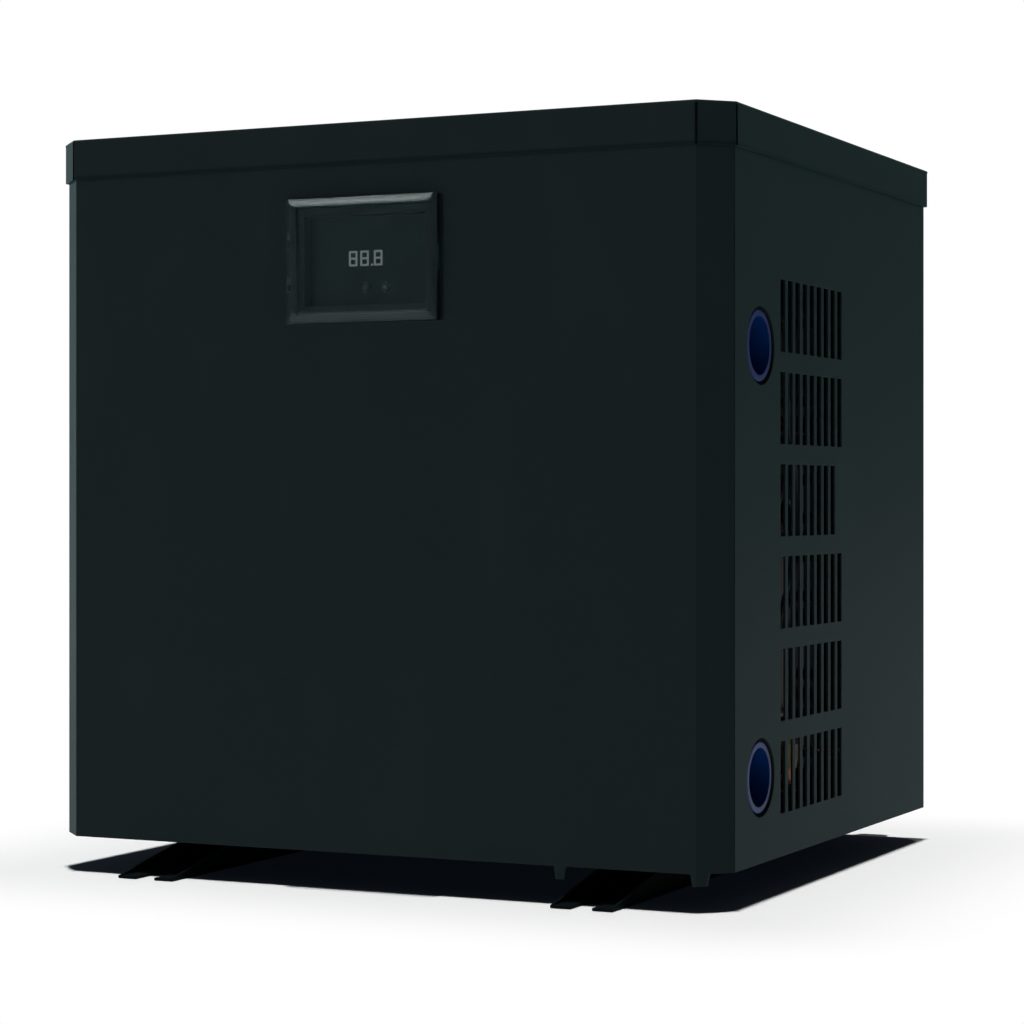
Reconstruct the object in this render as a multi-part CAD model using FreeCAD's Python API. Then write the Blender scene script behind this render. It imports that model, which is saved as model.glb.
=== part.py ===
"""Pool and spa heat pump unit: a sheet-metal cube on two foot rails.

Air is drawn through the slotted left and rear panels and an L-shaped evaporator, and leaves upwards
through a fan in the lid. The front right corner holds the water heat exchanger and its two sockets, the
rear right corner the compressor, and the front left corner the electrical box.

Millimetres. Origin at the middle of the footprint on the ground, +X to the right, +Y to the rear, +Z up.
"""
import FreeCAD, Part
import math
import os

from FreeCAD import Vector

# ------------------------------------------------------------------ driving dimensions

# casing
BODY_WIDTH = 420.0
BODY_DEPTH = 357.0
BODY_HEIGHT = 407.0           # from the panels' lower edge to the top of the lid
CHAMFER = 15.5                # each leg of the two bevelled front corners
SHEET = 1.2
SEAM = 0.8                    # gap between neighbouring panels
LAP = 12.0                    # hidden flanges behind the seams
SCREW_HOLE = 2.2              # radius

# lid
LID_OVERHANG = 2.0
LID_SKIRT = 23.2
LID_SLIT = 1.4                # gap between the folded flaps of the skirt
LID_EDGE = 1.0                # bend radius round the top

# feet
FOOT_HEIGHT = 20.0
FOOT_WIDTH = 36.0
FOOT_OFFSET = 136.0           # from the middle plane to each rail's middle
FOOT_SHEET = 1.5
TOE = 17.0                    # how far the rails reach past the front and rear faces
TOE_RAMP = 98.0               # length over which a rail's walls rise to the pan
NOTCH_WIDTH = 12.5
NOTCH_DEPTH = 22.0
FOOT_FLANGE = 13.0

# cooling slots of the right panel
SLOT_WIDTH = 7.7
SLOT_HEIGHT = 39.8
SLOT_PITCH = 12.2
ROW_PITCH = 51.0
FIRST_SLOT_Y = -87.3
FIRST_ROW_Z = 63.6
RIGHT_COLUMNS = 9
RIGHT_ROWS = 6
SHORT_ROW = 3                 # this row, counted from the bottom, lacks its rearmost slot
INTAKE_ROWS = 7
LEFT_COLUMNS = 22
REAR_COLUMNS = 24

# water side
PORT_Y = -122.5
PORT_LOW_Z = 66.6
PORT_HIGH_Z = 300.4
SOCKET_OUTER = 19.5
SOCKET_BORE = 16.1            # takes a pipe of 32 mm
SOCKET_DEPTH = 22.0
SOCKET_RECESS = 0.8           # the sockets end this far inside the panel's face
PORT_HOLE = 21.5
SHELL_RADIUS = 44.0
SHELL_WALL = 3.0
CAP_RADIUS = 48.0
CAP_LENGTH = 22.0
EXCHANGER_X = 143.0
EXCHANGER_TOP = 345.0

# fan
ORIFICE = 132.0
FAN_RADIUS = 127.0
HUB_RADIUS = 33.0
BLADES = 5
BLADE_Z = 392.0
SHAFT_RADIUS = 4.0
RUNNING_FIT = 0.05
GUARD_RADIUS = 146.0
GUARD_WIRE = 1.4
RECESS_RADIUS = 150.0
RECESS_DEPTH = 5.5
MOTOR_RADIUS = 38.0
MOTOR_LOW = 296.0
MOTOR_HIGH = 348.0
BRACKET_Y = 48.0
BRACKET_Z = 328.0
BRACKET_REACH = 162.0

# evaporator
COIL_X = -189.0               # middle plane of the left leg
COIL_Y = 157.0                # middle plane of the rear leg
COIL_DEPTH = 22.0
COIL_LOW = 42.0
COIL_HIGH = 392.0
COIL_FRONT = -155.0           # front end of the left leg
COIL_RIGHT = 155.0            # right end of the rear leg
COIL_BEND = 30.0
TUBE_RADIUS = 3.5
TUBE_PITCH = 25.0
COURSES = 14
FIN_PITCH = 6.0
FIN_SHEET = 0.4

# compressor
COMPRESSOR_X = 112.0
COMPRESSOR_Y = 62.0
COMPRESSOR_RADIUS = 48.0
COMPRESSOR_LOW = 44.0
COMPRESSOR_HIGH = 226.0
MOUNT_CIRCLE = 62.0
ACCUMULATOR_X = 163.0
ACCUMULATOR_Y = -12.0
ACCUMULATOR_RADIUS = 24.0
ACCUMULATOR_LOW = 84.0
ACCUMULATOR_HIGH = 210.0

# controller
CONTROLLER_X = -2.4
CONTROLLER_Z = 350.1
COVER_WIDTH = 93.0
COVER_HEIGHT = 69.4
FRAME_THICK = 4.1
COVER_THICK = 5.4
COVER_GAP = 0.3
COVER_WALL = 1.5
COVER_EDGE = 2.7
COVER_BEVEL_TOP = 3.6
COVER_BEVEL_LOW = 5.4
COVER_BEVEL_X = 4.4
CUTOUT_WIDTH = 80.0
CUTOUT_HEIGHT = 55.6
FACE_DEPTH = 5.6
WINDOW_WIDTH = 75.0
WINDOW_HEIGHT = 49.5
DIGIT_HEIGHT = 8.6
DIGIT_WIDTH = 5.3
DIGIT_STROKE = 1.1
DIGIT_PLACES = (-12.9, -5.7, 2.9)
POINT_X = -1.0
KEY_RADIUS = 2.8
KEY_PLACES = (-5.1, 7.3)
KEY_Z = 335.1
HINGE_RADIUS = 1.4
HINGE_PLACES = (362.4, 337.8)
HINGE_LENGTH = 8.2
TAB_LOW = 341.6
TAB_HIGH = 357.9
PIN_RADIUS = 0.8

# ------------------------------------------------------------------ derived places

HALF_W = BODY_WIDTH / 2
HALF_D = BODY_DEPTH / 2
FRONT = -HALF_D
BODY_LOW = FOOT_HEIGHT
TOP = FOOT_HEIGHT + BODY_HEIGHT
LID_UNDERSIDE = TOP - SHEET
PAN_TOP = BODY_LOW + SHEET
RIGHT_INSIDE = HALF_W - SHEET
RECESS_FLOOR = TOP - RECESS_DEPTH
FOOT_REACH = HALF_D + TOE

UP = Vector(0, 0, 1)
RIGHT = Vector(1, 0, 0)
REAR = Vector(0, 1, 0)

nodes = {}


# ------------------------------------------------------------------ shapes used throughout

def box(x, y, z):
    """A block from three (low, high) pairs."""
    size = [high - low for low, high in (x, y, z)]
    return Part.makeBox(*size, Vector(x[0], y[0], z[0]))


def centred_box(centre, size):
    """A block from its middle and its three sizes."""
    return box(*[(c - s / 2, c + s / 2) for c, s in zip(centre, size)])


def rod(radius, start, end):
    """A round bar from one point to another."""
    return Part.makeCylinder(radius, (end - start).Length, start, end - start)


def upright(radius, x, y, low, high):
    """A round bar along Z."""
    return rod(radius, Vector(x, y, low), Vector(x, y, high))


def prism(points, low, high):
    """An upright prism over a plan outline."""
    loop = [Vector(x, y, low) for x, y in points]
    return Part.Face(Part.makePolygon(loop + loop[:1])).extrude(UP * (high - low))


def side_prism(points, low, high):
    """A prism along X over an outline of (y, z) points."""
    loop = [Vector(low, y, z) for y, z in points]
    return Part.Face(Part.makePolygon(loop + loop[:1])).extrude(RIGHT * (high - low))


def front_prism(points, low, high):
    """A prism along Y over an outline of (x, z) points."""
    loop = [Vector(x, low, z) for x, z in points]
    return Part.Face(Part.makePolygon(loop + loop[:1])).extrude(REAR * (high - low))


def turned(profile, x=0.0, y=0.0):
    """A round piece: (radius, height) points turned about an upright axis."""
    loop = [Vector(r, 0, z) for r, z in profile]
    solid = Part.Face(Part.makePolygon(loop + loop[:1])).revolve(Vector(0, 0, 0), UP, 360)
    solid.translate(Vector(x, y, 0))
    return solid


def hexagon(across, x, y, low, high):
    """A nut-shaped prism of the given width across its flats."""
    corner = across / math.sqrt(3)
    turns = [math.radians(60 * i + 30) for i in range(6)]
    return prism([(x + corner * math.cos(a), y + corner * math.sin(a)) for a in turns], low, high)


def joined(shapes):
    """One solid out of touching or overlapping shapes."""
    return shapes[0].multiFuse(shapes[1:]).removeSplitter()


def group(shapes):
    """Separate pieces kept in one node."""
    return Part.makeCompound(shapes)


def cut(shape, tools):
    """The shape without the tools."""
    return shape.cut(Part.makeCompound(tools))


def pipe(route, radius, bend):
    """A round tube along straight runs that are joined by tangent arcs."""
    points = [Vector(*p) for p in route]
    edges = []
    start = points[0]
    for before, corner, after in zip(points, points[1:], points[2:]):
        into = (before - corner).normalize()
        out = (after - corner).normalize()
        half_turn = (math.pi - into.getAngle(out)) / 2
        reach = bend * math.tan(half_turn)
        inner = corner + (into + out).normalize() * (bend / math.cos(half_turn) - bend)
        arc_start = corner + into * reach
        arc_end = corner + out * reach
        if (arc_start - start).Length > 1e-6:
            edges.append(Part.makeLine(start, arc_start))
        edges.append(Part.Arc(arc_start, inner, arc_end).toShape())
        start = arc_end
    edges.append(Part.makeLine(start, points[-1]))
    path = Part.Wire(edges)
    section = Part.Wire(Part.makeCircle(radius, points[0], points[1] - points[0]))
    return path.makePipeShell([section], True, False)


def screw(seat, inward, head=3.8, head_height=1.9, shank=2.0, length=8.0):
    """A pan-head screw with a cross recess: its seat is a point on the sheet it holds down."""
    outward = inward * -1
    crown = rod(head, seat, seat + outward * head_height)
    far_edge = [e for e in crown.Edges if (e.CenterOfMass - seat).dot(outward) > head_height * 0.9]
    crown = crown.makeFillet(head_height * 0.45, far_edge)
    across = inward.cross(UP) if abs(inward.z) < 0.5 else RIGHT
    across = across.normalize()
    other = inward.cross(across)
    top = seat + outward * head_height
    slots = []
    for along, side in ((across, other), (other, across)):
        corner = top - along * (head * 0.55) - side * 0.4
        face = Part.makePolygon([corner, corner + along * (head * 1.1),
                                 corner + along * (head * 1.1) + side * 0.8,
                                 corner + side * 0.8, corner])
        slots.append(Part.Face(face).extrude(inward * 1.0))
    return cut(joined([crown, rod(shank, seat, seat + inward * length)]), slots)


def bolt_up(x, y, seat, across, head, radius, tip):
    """A hexagon bolt with its head under the seat and its shank up to the tip."""
    return joined([hexagon(across, x, y, seat - head, seat), upright(radius, x, y, seat, tip)])


# ------------------------------------------------------------------ casing

def casing_outline(inset):
    """Plan of the casing, bevelled at the front corners, moved inwards (or outwards, if negative)."""
    half_w = HALF_W - inset
    half_d = HALF_D - inset
    leg = CHAMFER - inset * (2 - math.sqrt(2))
    return [(-half_w, half_d), (-half_w, leg - half_d), (leg - half_w, -half_d),
            (half_w - leg, -half_d), (half_w, leg - half_d), (half_w, half_d)]


def slot_block(wall, columns, rows, first, skip=()):
    """Cutters for rows of upright slots; wall is "x" or "y", the axis that the slots go through."""
    blocks = []
    for row in range(rows):
        z = FIRST_ROW_Z + ROW_PITCH * row
        for column in range(columns):
            if (row, column) in skip:
                continue
            along = first + SLOT_PITCH * column
            run = (along - SLOT_WIDTH / 2, along + SLOT_WIDTH / 2)
            height = (z - SLOT_HEIGHT / 2, z + SLOT_HEIGHT / 2)
            if wall == "x":
                blocks.append(box((RIGHT_INSIDE - 1, HALF_W + 1), run, height))
            else:
                blocks.append(box(run, (HALF_D - SHEET - 1, HALF_D + 1), height))
    return blocks


def front_panel():
    """Front sheet that wraps both bevelled corners, with a cut-out for the controller."""
    low_edge = CHAMFER + FRONT
    front_half = box((-HALF_W, HALF_W), (FRONT, low_edge), (0, TOP))

    def sheet(low, high):
        ring = prism(casing_outline(0), low, high).cut(prism(casing_outline(SHEET), low, high))
        return ring.common(front_half)

    pieces = [sheet(BODY_LOW, LID_UNDERSIDE)]
    for side in (-1, 1):
        lap = sorted((side * (RIGHT_INSIDE - 0.2), side * (RIGHT_INSIDE - 0.2 - SHEET)))
        pieces.append(box(lap, (low_edge - 1.5, low_edge + LAP), (BODY_LOW, LID_UNDERSIDE)))
    pieces.append(box((-185, 185), (FRONT + SHEET, FRONT + SHEET + LAP),
                      (LID_UNDERSIDE - SHEET, LID_UNDERSIDE)))
    # two tapered tabs continue the sheet below its lower edge
    for middle, width, length in ((116.0, 7.0, 7.0), (195.5, 8.5, 6.5)):
        taper = [(middle - width / 2, BODY_LOW), (middle + width / 2, BODY_LOW),
                 (middle + width * 0.38, BODY_LOW - length), (middle - width * 0.38, BODY_LOW - length)]
        wedge = front_prism(taper, FRONT - 1, FRONT + 11)
        pieces.append(sheet(BODY_LOW - length, BODY_LOW).common(wedge))
    cutout = centred_box((CONTROLLER_X, FRONT, CONTROLLER_Z), (CUTOUT_WIDTH, 20.0, CUTOUT_HEIGHT))
    return cut(joined(pieces), [cutout])


def side_panel():
    """Plain right-hand side sheet with its rear flange and its top flange."""
    front_edge = FRONT + CHAMFER + SEAM
    height = (BODY_LOW, LID_UNDERSIDE)
    return joined([
        box((RIGHT_INSIDE, HALF_W), (front_edge, HALF_D), height),
        box((HALF_W - 14.4, HALF_W), (HALF_D - SHEET, HALF_D), height),
        box((RIGHT_INSIDE - LAP, HALF_W), (-145, 160), (LID_UNDERSIDE - SHEET, LID_UNDERSIDE))])


REAR_SCREW_X = 201.0
REAR_SCREW_Z = (60.0, 150.0, 240.0, 330.0)
LOW_SCREW_Z = 28.0
LEFT_SCREW_Y = (-110.0, 0.0, 110.0)
LOW_SCREW_X = (-120.0, 0.0, 120.0)
LID_SCREW_X = (-150.0, 0.0, 150.0)
LID_SCREW_Z = 413.0
GLAND_X = 174.0
GLAND_Z = 52.0
GLAND_RADIUS = 8.0
GLAND_BORE = 4.0


def rear_screw_holes(side):
    """Cutters through a side panel's rear flange and the rear panel's lap."""
    return [rod(SCREW_HOLE, Vector(side * REAR_SCREW_X, HALF_D - 5, z),
                Vector(side * REAR_SCREW_X, HALF_D + 5, z))
            for z in REAR_SCREW_Z]


def low_rear_holes():
    """Cutters through the rear panel and the pan's rear wall."""
    return [rod(SCREW_HOLE, Vector(x, HALF_D - 6, LOW_SCREW_Z), Vector(x, HALF_D + 5, LOW_SCREW_Z))
            for x in LOW_SCREW_X]


def low_left_holes():
    """Cutters through the left panel and the pan's left wall."""
    return [rod(SCREW_HOLE, Vector(-HALF_W - 5, y, LOW_SCREW_Z), Vector(-HALF_W + 6, y, LOW_SCREW_Z))
            for y in LEFT_SCREW_Y]


def lid_holes():
    """Cutters through the lid's rear skirt and the rear panel."""
    return [rod(SCREW_HOLE, Vector(x, HALF_D - 5, LID_SCREW_Z), Vector(x, HALF_D + 5, LID_SCREW_Z))
            for x in LID_SCREW_X]


def right_panel():
    """Right side sheet: cooling slots and the two port holes."""
    skip = [(SHORT_ROW, RIGHT_COLUMNS - 1)]
    tools = slot_block("x", RIGHT_COLUMNS, RIGHT_ROWS, FIRST_SLOT_Y, skip)
    for z in (PORT_LOW_Z, PORT_HIGH_Z):
        tools.append(rod(PORT_HOLE, Vector(RIGHT_INSIDE - 3, PORT_Y, z), Vector(HALF_W + 3, PORT_Y, z)))
    return cut(side_panel(), tools + rear_screw_holes(1))


def left_panel():
    """Left side sheet: air intake slots over its whole face."""
    first = -17.0 - SLOT_PITCH * (LEFT_COLUMNS - 1) / 2
    slotted = cut(side_panel(), slot_block("x", LEFT_COLUMNS, INTAKE_ROWS, first))
    mirrored = slotted.mirror(Vector(0, 0, 0), RIGHT)
    return cut(mirrored, rear_screw_holes(-1) + low_left_holes())


def rear_panel():
    """Rear sheet between the side panels' flanges, lapped behind them, with air intake slots."""
    half = HALF_W - 14.4 - SEAM
    height = (BODY_LOW, LID_UNDERSIDE)
    inner = HALF_D - SHEET
    pieces = [box((-half, half), (inner, HALF_D), height),
              box((-180, 180), (inner - LAP, inner), (LID_UNDERSIDE - SHEET, LID_UNDERSIDE))]
    for side in (-1, 1):
        pieces.append(box(sorted((side * (half - 8), side * (half + 11))), (inner - SHEET, inner), height))
    first = -SLOT_PITCH * (REAR_COLUMNS - 1) / 2
    tools = slot_block("y", REAR_COLUMNS, INTAKE_ROWS, first)
    tools += rear_screw_holes(-1) + rear_screw_holes(1) + low_rear_holes() + lid_holes()
    tools.append(rod(GLAND_RADIUS + 0.2, Vector(GLAND_X, HALF_D - 5, GLAND_Z),
                     Vector(GLAND_X, HALF_D + 5, GLAND_Z)))
    return cut(joined(pieces), tools)


def top_lid():
    """Folded lid: flat top with a sunk ring for the fan guard, and a skirt whose flaps stand apart."""
    outer = casing_outline(-LID_OVERHANG)
    skirt_low = TOP - LID_SKIRT
    shell = prism(outer, skirt_low, TOP)
    rim = [e for e in shell.Edges if all(abs(v.Z - TOP) < 1e-6 for v in e.Vertexes)]
    shell = shell.makeFillet(LID_EDGE, rim)
    shell = shell.cut(prism(casing_outline(SHEET - LID_OVERHANG), skirt_low - 1, LID_UNDERSIDE))
    shell = shell.cut(upright(RECESS_RADIUS + 1.5, 0, 0, LID_UNDERSIDE - 5, TOP + 5))
    sunk_ring = turned([(RECESS_RADIUS + 2, TOP), (RECESS_RADIUS, TOP),
                        (RECESS_RADIUS - 1.5, RECESS_FLOOR), (ORIFICE, RECESS_FLOOR),
                        (ORIFICE, RECESS_FLOOR - SHEET), (RECESS_RADIUS - 0.7, RECESS_FLOOR - SHEET),
                        (RECESS_RADIUS + 0.9, LID_UNDERSIDE), (RECESS_RADIUS + 2, LID_UNDERSIDE)])
    slits = []
    slit_top = TOP - SHEET - 0.4
    count = len(outer)
    for i, (x, y) in enumerate(outer):
        before, after = outer[i - 1], outer[(i + 1) % count]
        to_before = Vector(before[0] - x, before[1] - y, 0).normalize()
        to_after = Vector(after[0] - x, after[1] - y, 0).normalize()
        inward = (to_before + to_after).normalize()
        across = inward.cross(UP) * (LID_SLIT / 2)
        near = Vector(x, y, 0) - inward * 2
        far = near + inward * 6
        loop = [near - across, near + across, far + across, far - across]
        slits.append(prism([(p.x, p.y) for p in loop], skirt_low - 1, slit_top))
    guard_holes = [upright(SCREW_HOLE, x, y, RECESS_FLOOR - 5, RECESS_FLOOR + 5)
                   for x, y in guard_screw_places()]
    return cut(joined([shell, sunk_ring]), slits + lid_holes() + guard_holes)


def casing_screws():
    """Screws of the side, rear and pan joints and of the lid's rear skirt."""
    inward = Vector(0, -1, 0)
    skirt = HALF_D + LID_OVERHANG
    screws = [screw(Vector(side * REAR_SCREW_X, HALF_D, z), inward) for side in (-1, 1) for z in REAR_SCREW_Z]
    screws += [screw(Vector(x, HALF_D, LOW_SCREW_Z), inward) for x in LOW_SCREW_X]
    screws += [screw(Vector(-HALF_W, y, LOW_SCREW_Z), RIGHT) for y in LEFT_SCREW_Y]
    screws += [screw(Vector(x, skirt, LID_SCREW_Z), inward, length=10) for x in LID_SCREW_X]
    return group(screws)


# ------------------------------------------------------------------ base and feet

PAN_INSET = 2.6
PAN_WALL = 16.0
FOOT_BOLT_Y = (-60.0, 90.0)
FOOT_BOLT = 3.0               # radius of the bolts of the feet
DRAIN_X = -60.0
DRAIN_Y = 100.0
DRAIN_RADIUS = 8.0
CAP_LUG_REACH = 55.0


def foot_bolt_places():
    """Both flanges of both rails, in front and behind."""
    offset = FOOT_WIDTH / 2 + FOOT_FLANGE / 2
    return [(side * FOOT_OFFSET + edge * offset, y)
            for side in (-1, 1) for edge in (-1, 1) for y in FOOT_BOLT_Y]


def mount_places():
    """The compressor's three rubber mounts."""
    turns = [math.radians(a) for a in (90, 210, 330)]
    return [(COMPRESSOR_X + MOUNT_CIRCLE * math.cos(turn), COMPRESSOR_Y + MOUNT_CIRCLE * math.sin(turn))
            for turn in turns]


def cap_lug_places():
    """Three lugs of the exchanger's lower cap, away from the front panel."""
    turns = [math.radians(a) for a in (0, 90, 180)]
    return [(EXCHANGER_X + CAP_LUG_REACH * math.cos(a), PORT_Y + CAP_LUG_REACH * math.sin(a)) for a in turns]


def base_pan():
    """Condensate tray that carries everything, with stiffening beads and a drain hole."""
    tray = prism(casing_outline(PAN_INSET), BODY_LOW, BODY_LOW + PAN_WALL)
    tray = tray.cut(prism(casing_outline(PAN_INSET + SHEET), PAN_TOP, BODY_LOW + PAN_WALL + 1))
    beads = [centred_box((-20, y, PAN_TOP + 0.8), (130, 10, 2.0)) for y in (-60, -20, 20, 60)]
    tools = [upright(FOOT_BOLT + 0.2, x, y, BODY_LOW - 5, BODY_LOW + 5) for x, y in foot_bolt_places()]
    tools += [upright(SCREW_HOLE, x, y, BODY_LOW - 5, BODY_LOW + 5) for x, y in cap_lug_places()]
    tools.append(upright(DRAIN_RADIUS + 0.1, DRAIN_X, DRAIN_Y, BODY_LOW - 5, BODY_LOW + 5))
    return cut(joined([tray] + beads), tools + low_rear_holes() + low_left_holes())


def foot_rail(middle):
    """Channel rail: a web on the ground with open anchor notches, raked walls and bolted flanges."""
    wall_top = FOOT_REACH - TOE_RAMP
    profile = [(-FOOT_REACH, 0), (FOOT_REACH, 0), (FOOT_REACH, FOOT_SHEET), (wall_top, FOOT_HEIGHT),
               (-wall_top, FOOT_HEIGHT), (-FOOT_REACH, FOOT_SHEET)]
    half = FOOT_WIDTH / 2
    pieces = [centred_box((middle, 0, FOOT_SHEET / 2), (FOOT_WIDTH, 2 * FOOT_REACH, FOOT_SHEET))]
    for edge in (-1, 1):
        wall = sorted((middle + edge * half, middle + edge * (half - FOOT_SHEET)))
        flange = sorted((middle + edge * half, middle + edge * (half + FOOT_FLANGE)))
        pieces.append(side_prism(profile, *wall))
        pieces.append(box(flange, (-wall_top, wall_top), (FOOT_HEIGHT - FOOT_SHEET, FOOT_HEIGHT)))
        pieces.append(box(wall, (-wall_top, wall_top), (FOOT_HEIGHT - FOOT_SHEET, FOOT_HEIGHT)))
    tools = []
    for end in (-1, 1):
        inner = FOOT_REACH - NOTCH_DEPTH + NOTCH_WIDTH / 2
        slot = sorted((end * inner, end * (FOOT_REACH + 5)))
        tools.append(box((middle - NOTCH_WIDTH / 2, middle + NOTCH_WIDTH / 2), slot, (-1, FOOT_SHEET + 1)))
        tools.append(upright(NOTCH_WIDTH / 2, middle, end * inner, -1, FOOT_SHEET + 1))
    tools += [upright(FOOT_BOLT + 0.2, x, y, FOOT_HEIGHT - 5, FOOT_HEIGHT + 5) for x, y in foot_bolt_places()]
    return cut(joined(pieces), tools)


def foot_bolts():
    """Bolts that hold the rails under the pan, with their nuts on the pan's floor."""
    seat = FOOT_HEIGHT - FOOT_SHEET
    across = 10.0
    pieces = []
    for x, y in foot_bolt_places():
        pieces.append(bolt_up(x, y, seat, across, 4.0, FOOT_BOLT, PAN_TOP + 8))
        nut = hexagon(across, x, y, PAN_TOP, PAN_TOP + 5)
        pieces.append(nut.cut(upright(FOOT_BOLT, x, y, 0, TOP)))
    return group(pieces)


def drain_spout():
    """Plastic condensate spigot for a hose, hung through the pan."""
    tube = turned([(6.3, 4), (7.4, 4), (DRAIN_RADIUS, 6.5), (DRAIN_RADIUS, PAN_TOP), (12.5, PAN_TOP),
                   (12.5, PAN_TOP + 1.4), (6.3, PAN_TOP + 1.4)], DRAIN_X, DRAIN_Y)
    collar = turned([(DRAIN_RADIUS - 0.5, 15.5), (11.5, 15.5),
                     (11.5, BODY_LOW), (DRAIN_RADIUS - 0.5, BODY_LOW)],
                    DRAIN_X, DRAIN_Y)
    return joined([tube, collar])


def cable_gland():
    """Gland through the rear panel, bored for a mains lead, and its locknut inside."""
    centre = Vector(GLAND_X, 0, GLAND_Z)
    collar = hexagon(22.0, 0, 0, 0, 3.5)
    collar.rotate(Vector(0, 0, 0), RIGHT, -90)
    collar.translate(Vector(GLAND_X, HALF_D, GLAND_Z))
    thread = rod(GLAND_RADIUS, centre + REAR * (HALF_D - 9), centre + REAR * HALF_D)
    dome = rod(9.5, centre + REAR * (HALF_D + 3.5), centre + REAR * (HALF_D + 10.5))
    far = [e for e in dome.Edges if e.CenterOfMass.y > HALF_D + 10]
    dome = dome.makeFillet(3.0, far)
    bore = rod(GLAND_BORE, centre + REAR * (HALF_D - 20), centre + REAR * (HALF_D + 20))
    nut = hexagon(22.0, 0, 0, 0, 4.5)
    nut.rotate(Vector(0, 0, 0), RIGHT, 90)
    nut.translate(Vector(GLAND_X, HALF_D - SHEET, GLAND_Z))
    nut = nut.cut(rod(GLAND_RADIUS, centre + REAR * (HALF_D - 30), centre + REAR * (HALF_D + 30)))
    return group([cut(joined([collar, thread, dome]), [bore]), nut])


# ------------------------------------------------------------------ fan

EYELET_CIRCLE = 137.8
EYELET_THICK = 3.0


def guard_screw_places():
    """Four eyelets of the fan guard, on the diagonals."""
    turns = [math.radians(45 + 90 * i) for i in range(4)]
    return [(EYELET_CIRCLE * math.cos(a), EYELET_CIRCLE * math.sin(a)) for a in turns]


def fan_guard():
    """Welded wire guard: rings on spokes, a middle plate and four eyelets."""
    spoke = 1.6
    spoke_z = RECESS_FLOOR + 0.2 + spoke
    ring_z = spoke_z + spoke + GUARD_WIRE - 0.8
    pieces = [upright(27.0, 0, 0, spoke_z - 0.6, ring_z + GUARD_WIRE)]
    for i in range(1, 11):
        pieces.append(Part.makeTorus(20.0 + 12.4 * i, GUARD_WIRE, Vector(0, 0, ring_z)))
    for i in range(8):
        angle = math.radians(22.5 + 45 * i)
        way = Vector(math.cos(angle), math.sin(angle), 0)
        pieces.append(rod(spoke, way * 20 + UP * spoke_z, way * GUARD_RADIUS + UP * spoke_z))
    for x, y in guard_screw_places():
        eyelet = upright(7.0, x, y, RECESS_FLOOR, RECESS_FLOOR + EYELET_THICK)
        pieces.append(eyelet.cut(upright(SCREW_HOLE, x, y, 0, TOP + 5)))
    return joined(pieces)


def guard_screws():
    """Screws through the guard's eyelets into the lid."""
    seat = RECESS_FLOOR + EYELET_THICK
    return group([screw(Vector(x, y, seat), Vector(0, 0, -1), head=3.4, head_height=1.7)
                  for x, y in guard_screw_places()])


def fan_shroud():
    """Ring that guides the air past the blade tips, flared at its lower edge."""
    top = RECESS_FLOOR - SHEET
    ring = turned([(ORIFICE, top), (RECESS_RADIUS - 2, top), (RECESS_RADIUS - 2, top - 1.5),
                   (ORIFICE + 1.5, top - 1.5), (ORIFICE + 1.5, 372.5), (141.0, 363.0), (140.0, 362.0),
                   (ORIFICE, 372.0)])
    holes = [upright(SCREW_HOLE, x, y, top - 5, top + 5) for x, y in guard_screw_places()]
    return cut(ring, holes)


def blade_section(radius, chord, pitch, sweep):
    """A cambered section across the blade, at one distance from the axis."""
    thickness = 2.0
    camber = 0.09 * chord
    tilt = math.radians(pitch)

    def place(along, rise):
        y = sweep + along * math.cos(tilt) - rise * math.sin(tilt)
        z = BLADE_Z + along * math.sin(tilt) + rise * math.cos(tilt)
        return Vector(radius, y, z)

    half = chord / 2
    lower = Part.Arc(place(-half, 0), place(0, camber), place(half, 0)).toShape()
    upper = Part.Arc(place(half, thickness), place(0, camber + thickness), place(-half, thickness)).toShape()
    ends = [Part.makeLine(place(half, 0), place(half, thickness)),
            Part.makeLine(place(-half, thickness), place(-half, 0))]
    return Part.Wire([lower, ends[0], upper, ends[1]])


def fan_blades():
    """Moulded axial fan: five swept blades on a hub."""
    hub = upright(HUB_RADIUS, 0, 0, BLADE_Z - 18, BLADE_Z + 14)
    rim = [e for e in hub.Edges if abs(e.CenterOfMass.z - BLADE_Z - 14) < 1e-6]
    hub = hub.makeFillet(5.0, rim)
    hub = hub.cut(upright(HUB_RADIUS - 3, 0, 0, BLADE_Z - 19, BLADE_Z - 6))
    boss = upright(9.0, 0, 0, BLADE_Z - 18, BLADE_Z)
    sections = [blade_section(31.0, 46.0, 40.0, 0.0), blade_section(80.0, 66.0, 30.0, 3.0),
                blade_section(FAN_RADIUS + 2, 82.0, 22.0, 12.0)]
    blade = Part.makeLoft(sections, True)
    inside = upright(HUB_RADIUS - 1.5, 0, 0, BLADE_Z - 60, BLADE_Z + 60)
    blade = blade.common(upright(FAN_RADIUS, 0, 0, BLADE_Z - 60, BLADE_Z + 60)).cut(inside)
    pieces = [hub, boss]
    for i in range(BLADES):
        copy = blade.copy()
        copy.rotate(Vector(0, 0, 0), UP, 360.0 / BLADES * i)
        pieces.append(copy)
    return cut(joined(pieces), [upright(SHAFT_RADIUS, 0, 0, BLADE_Z - 60, BLADE_Z + 60)])


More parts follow.
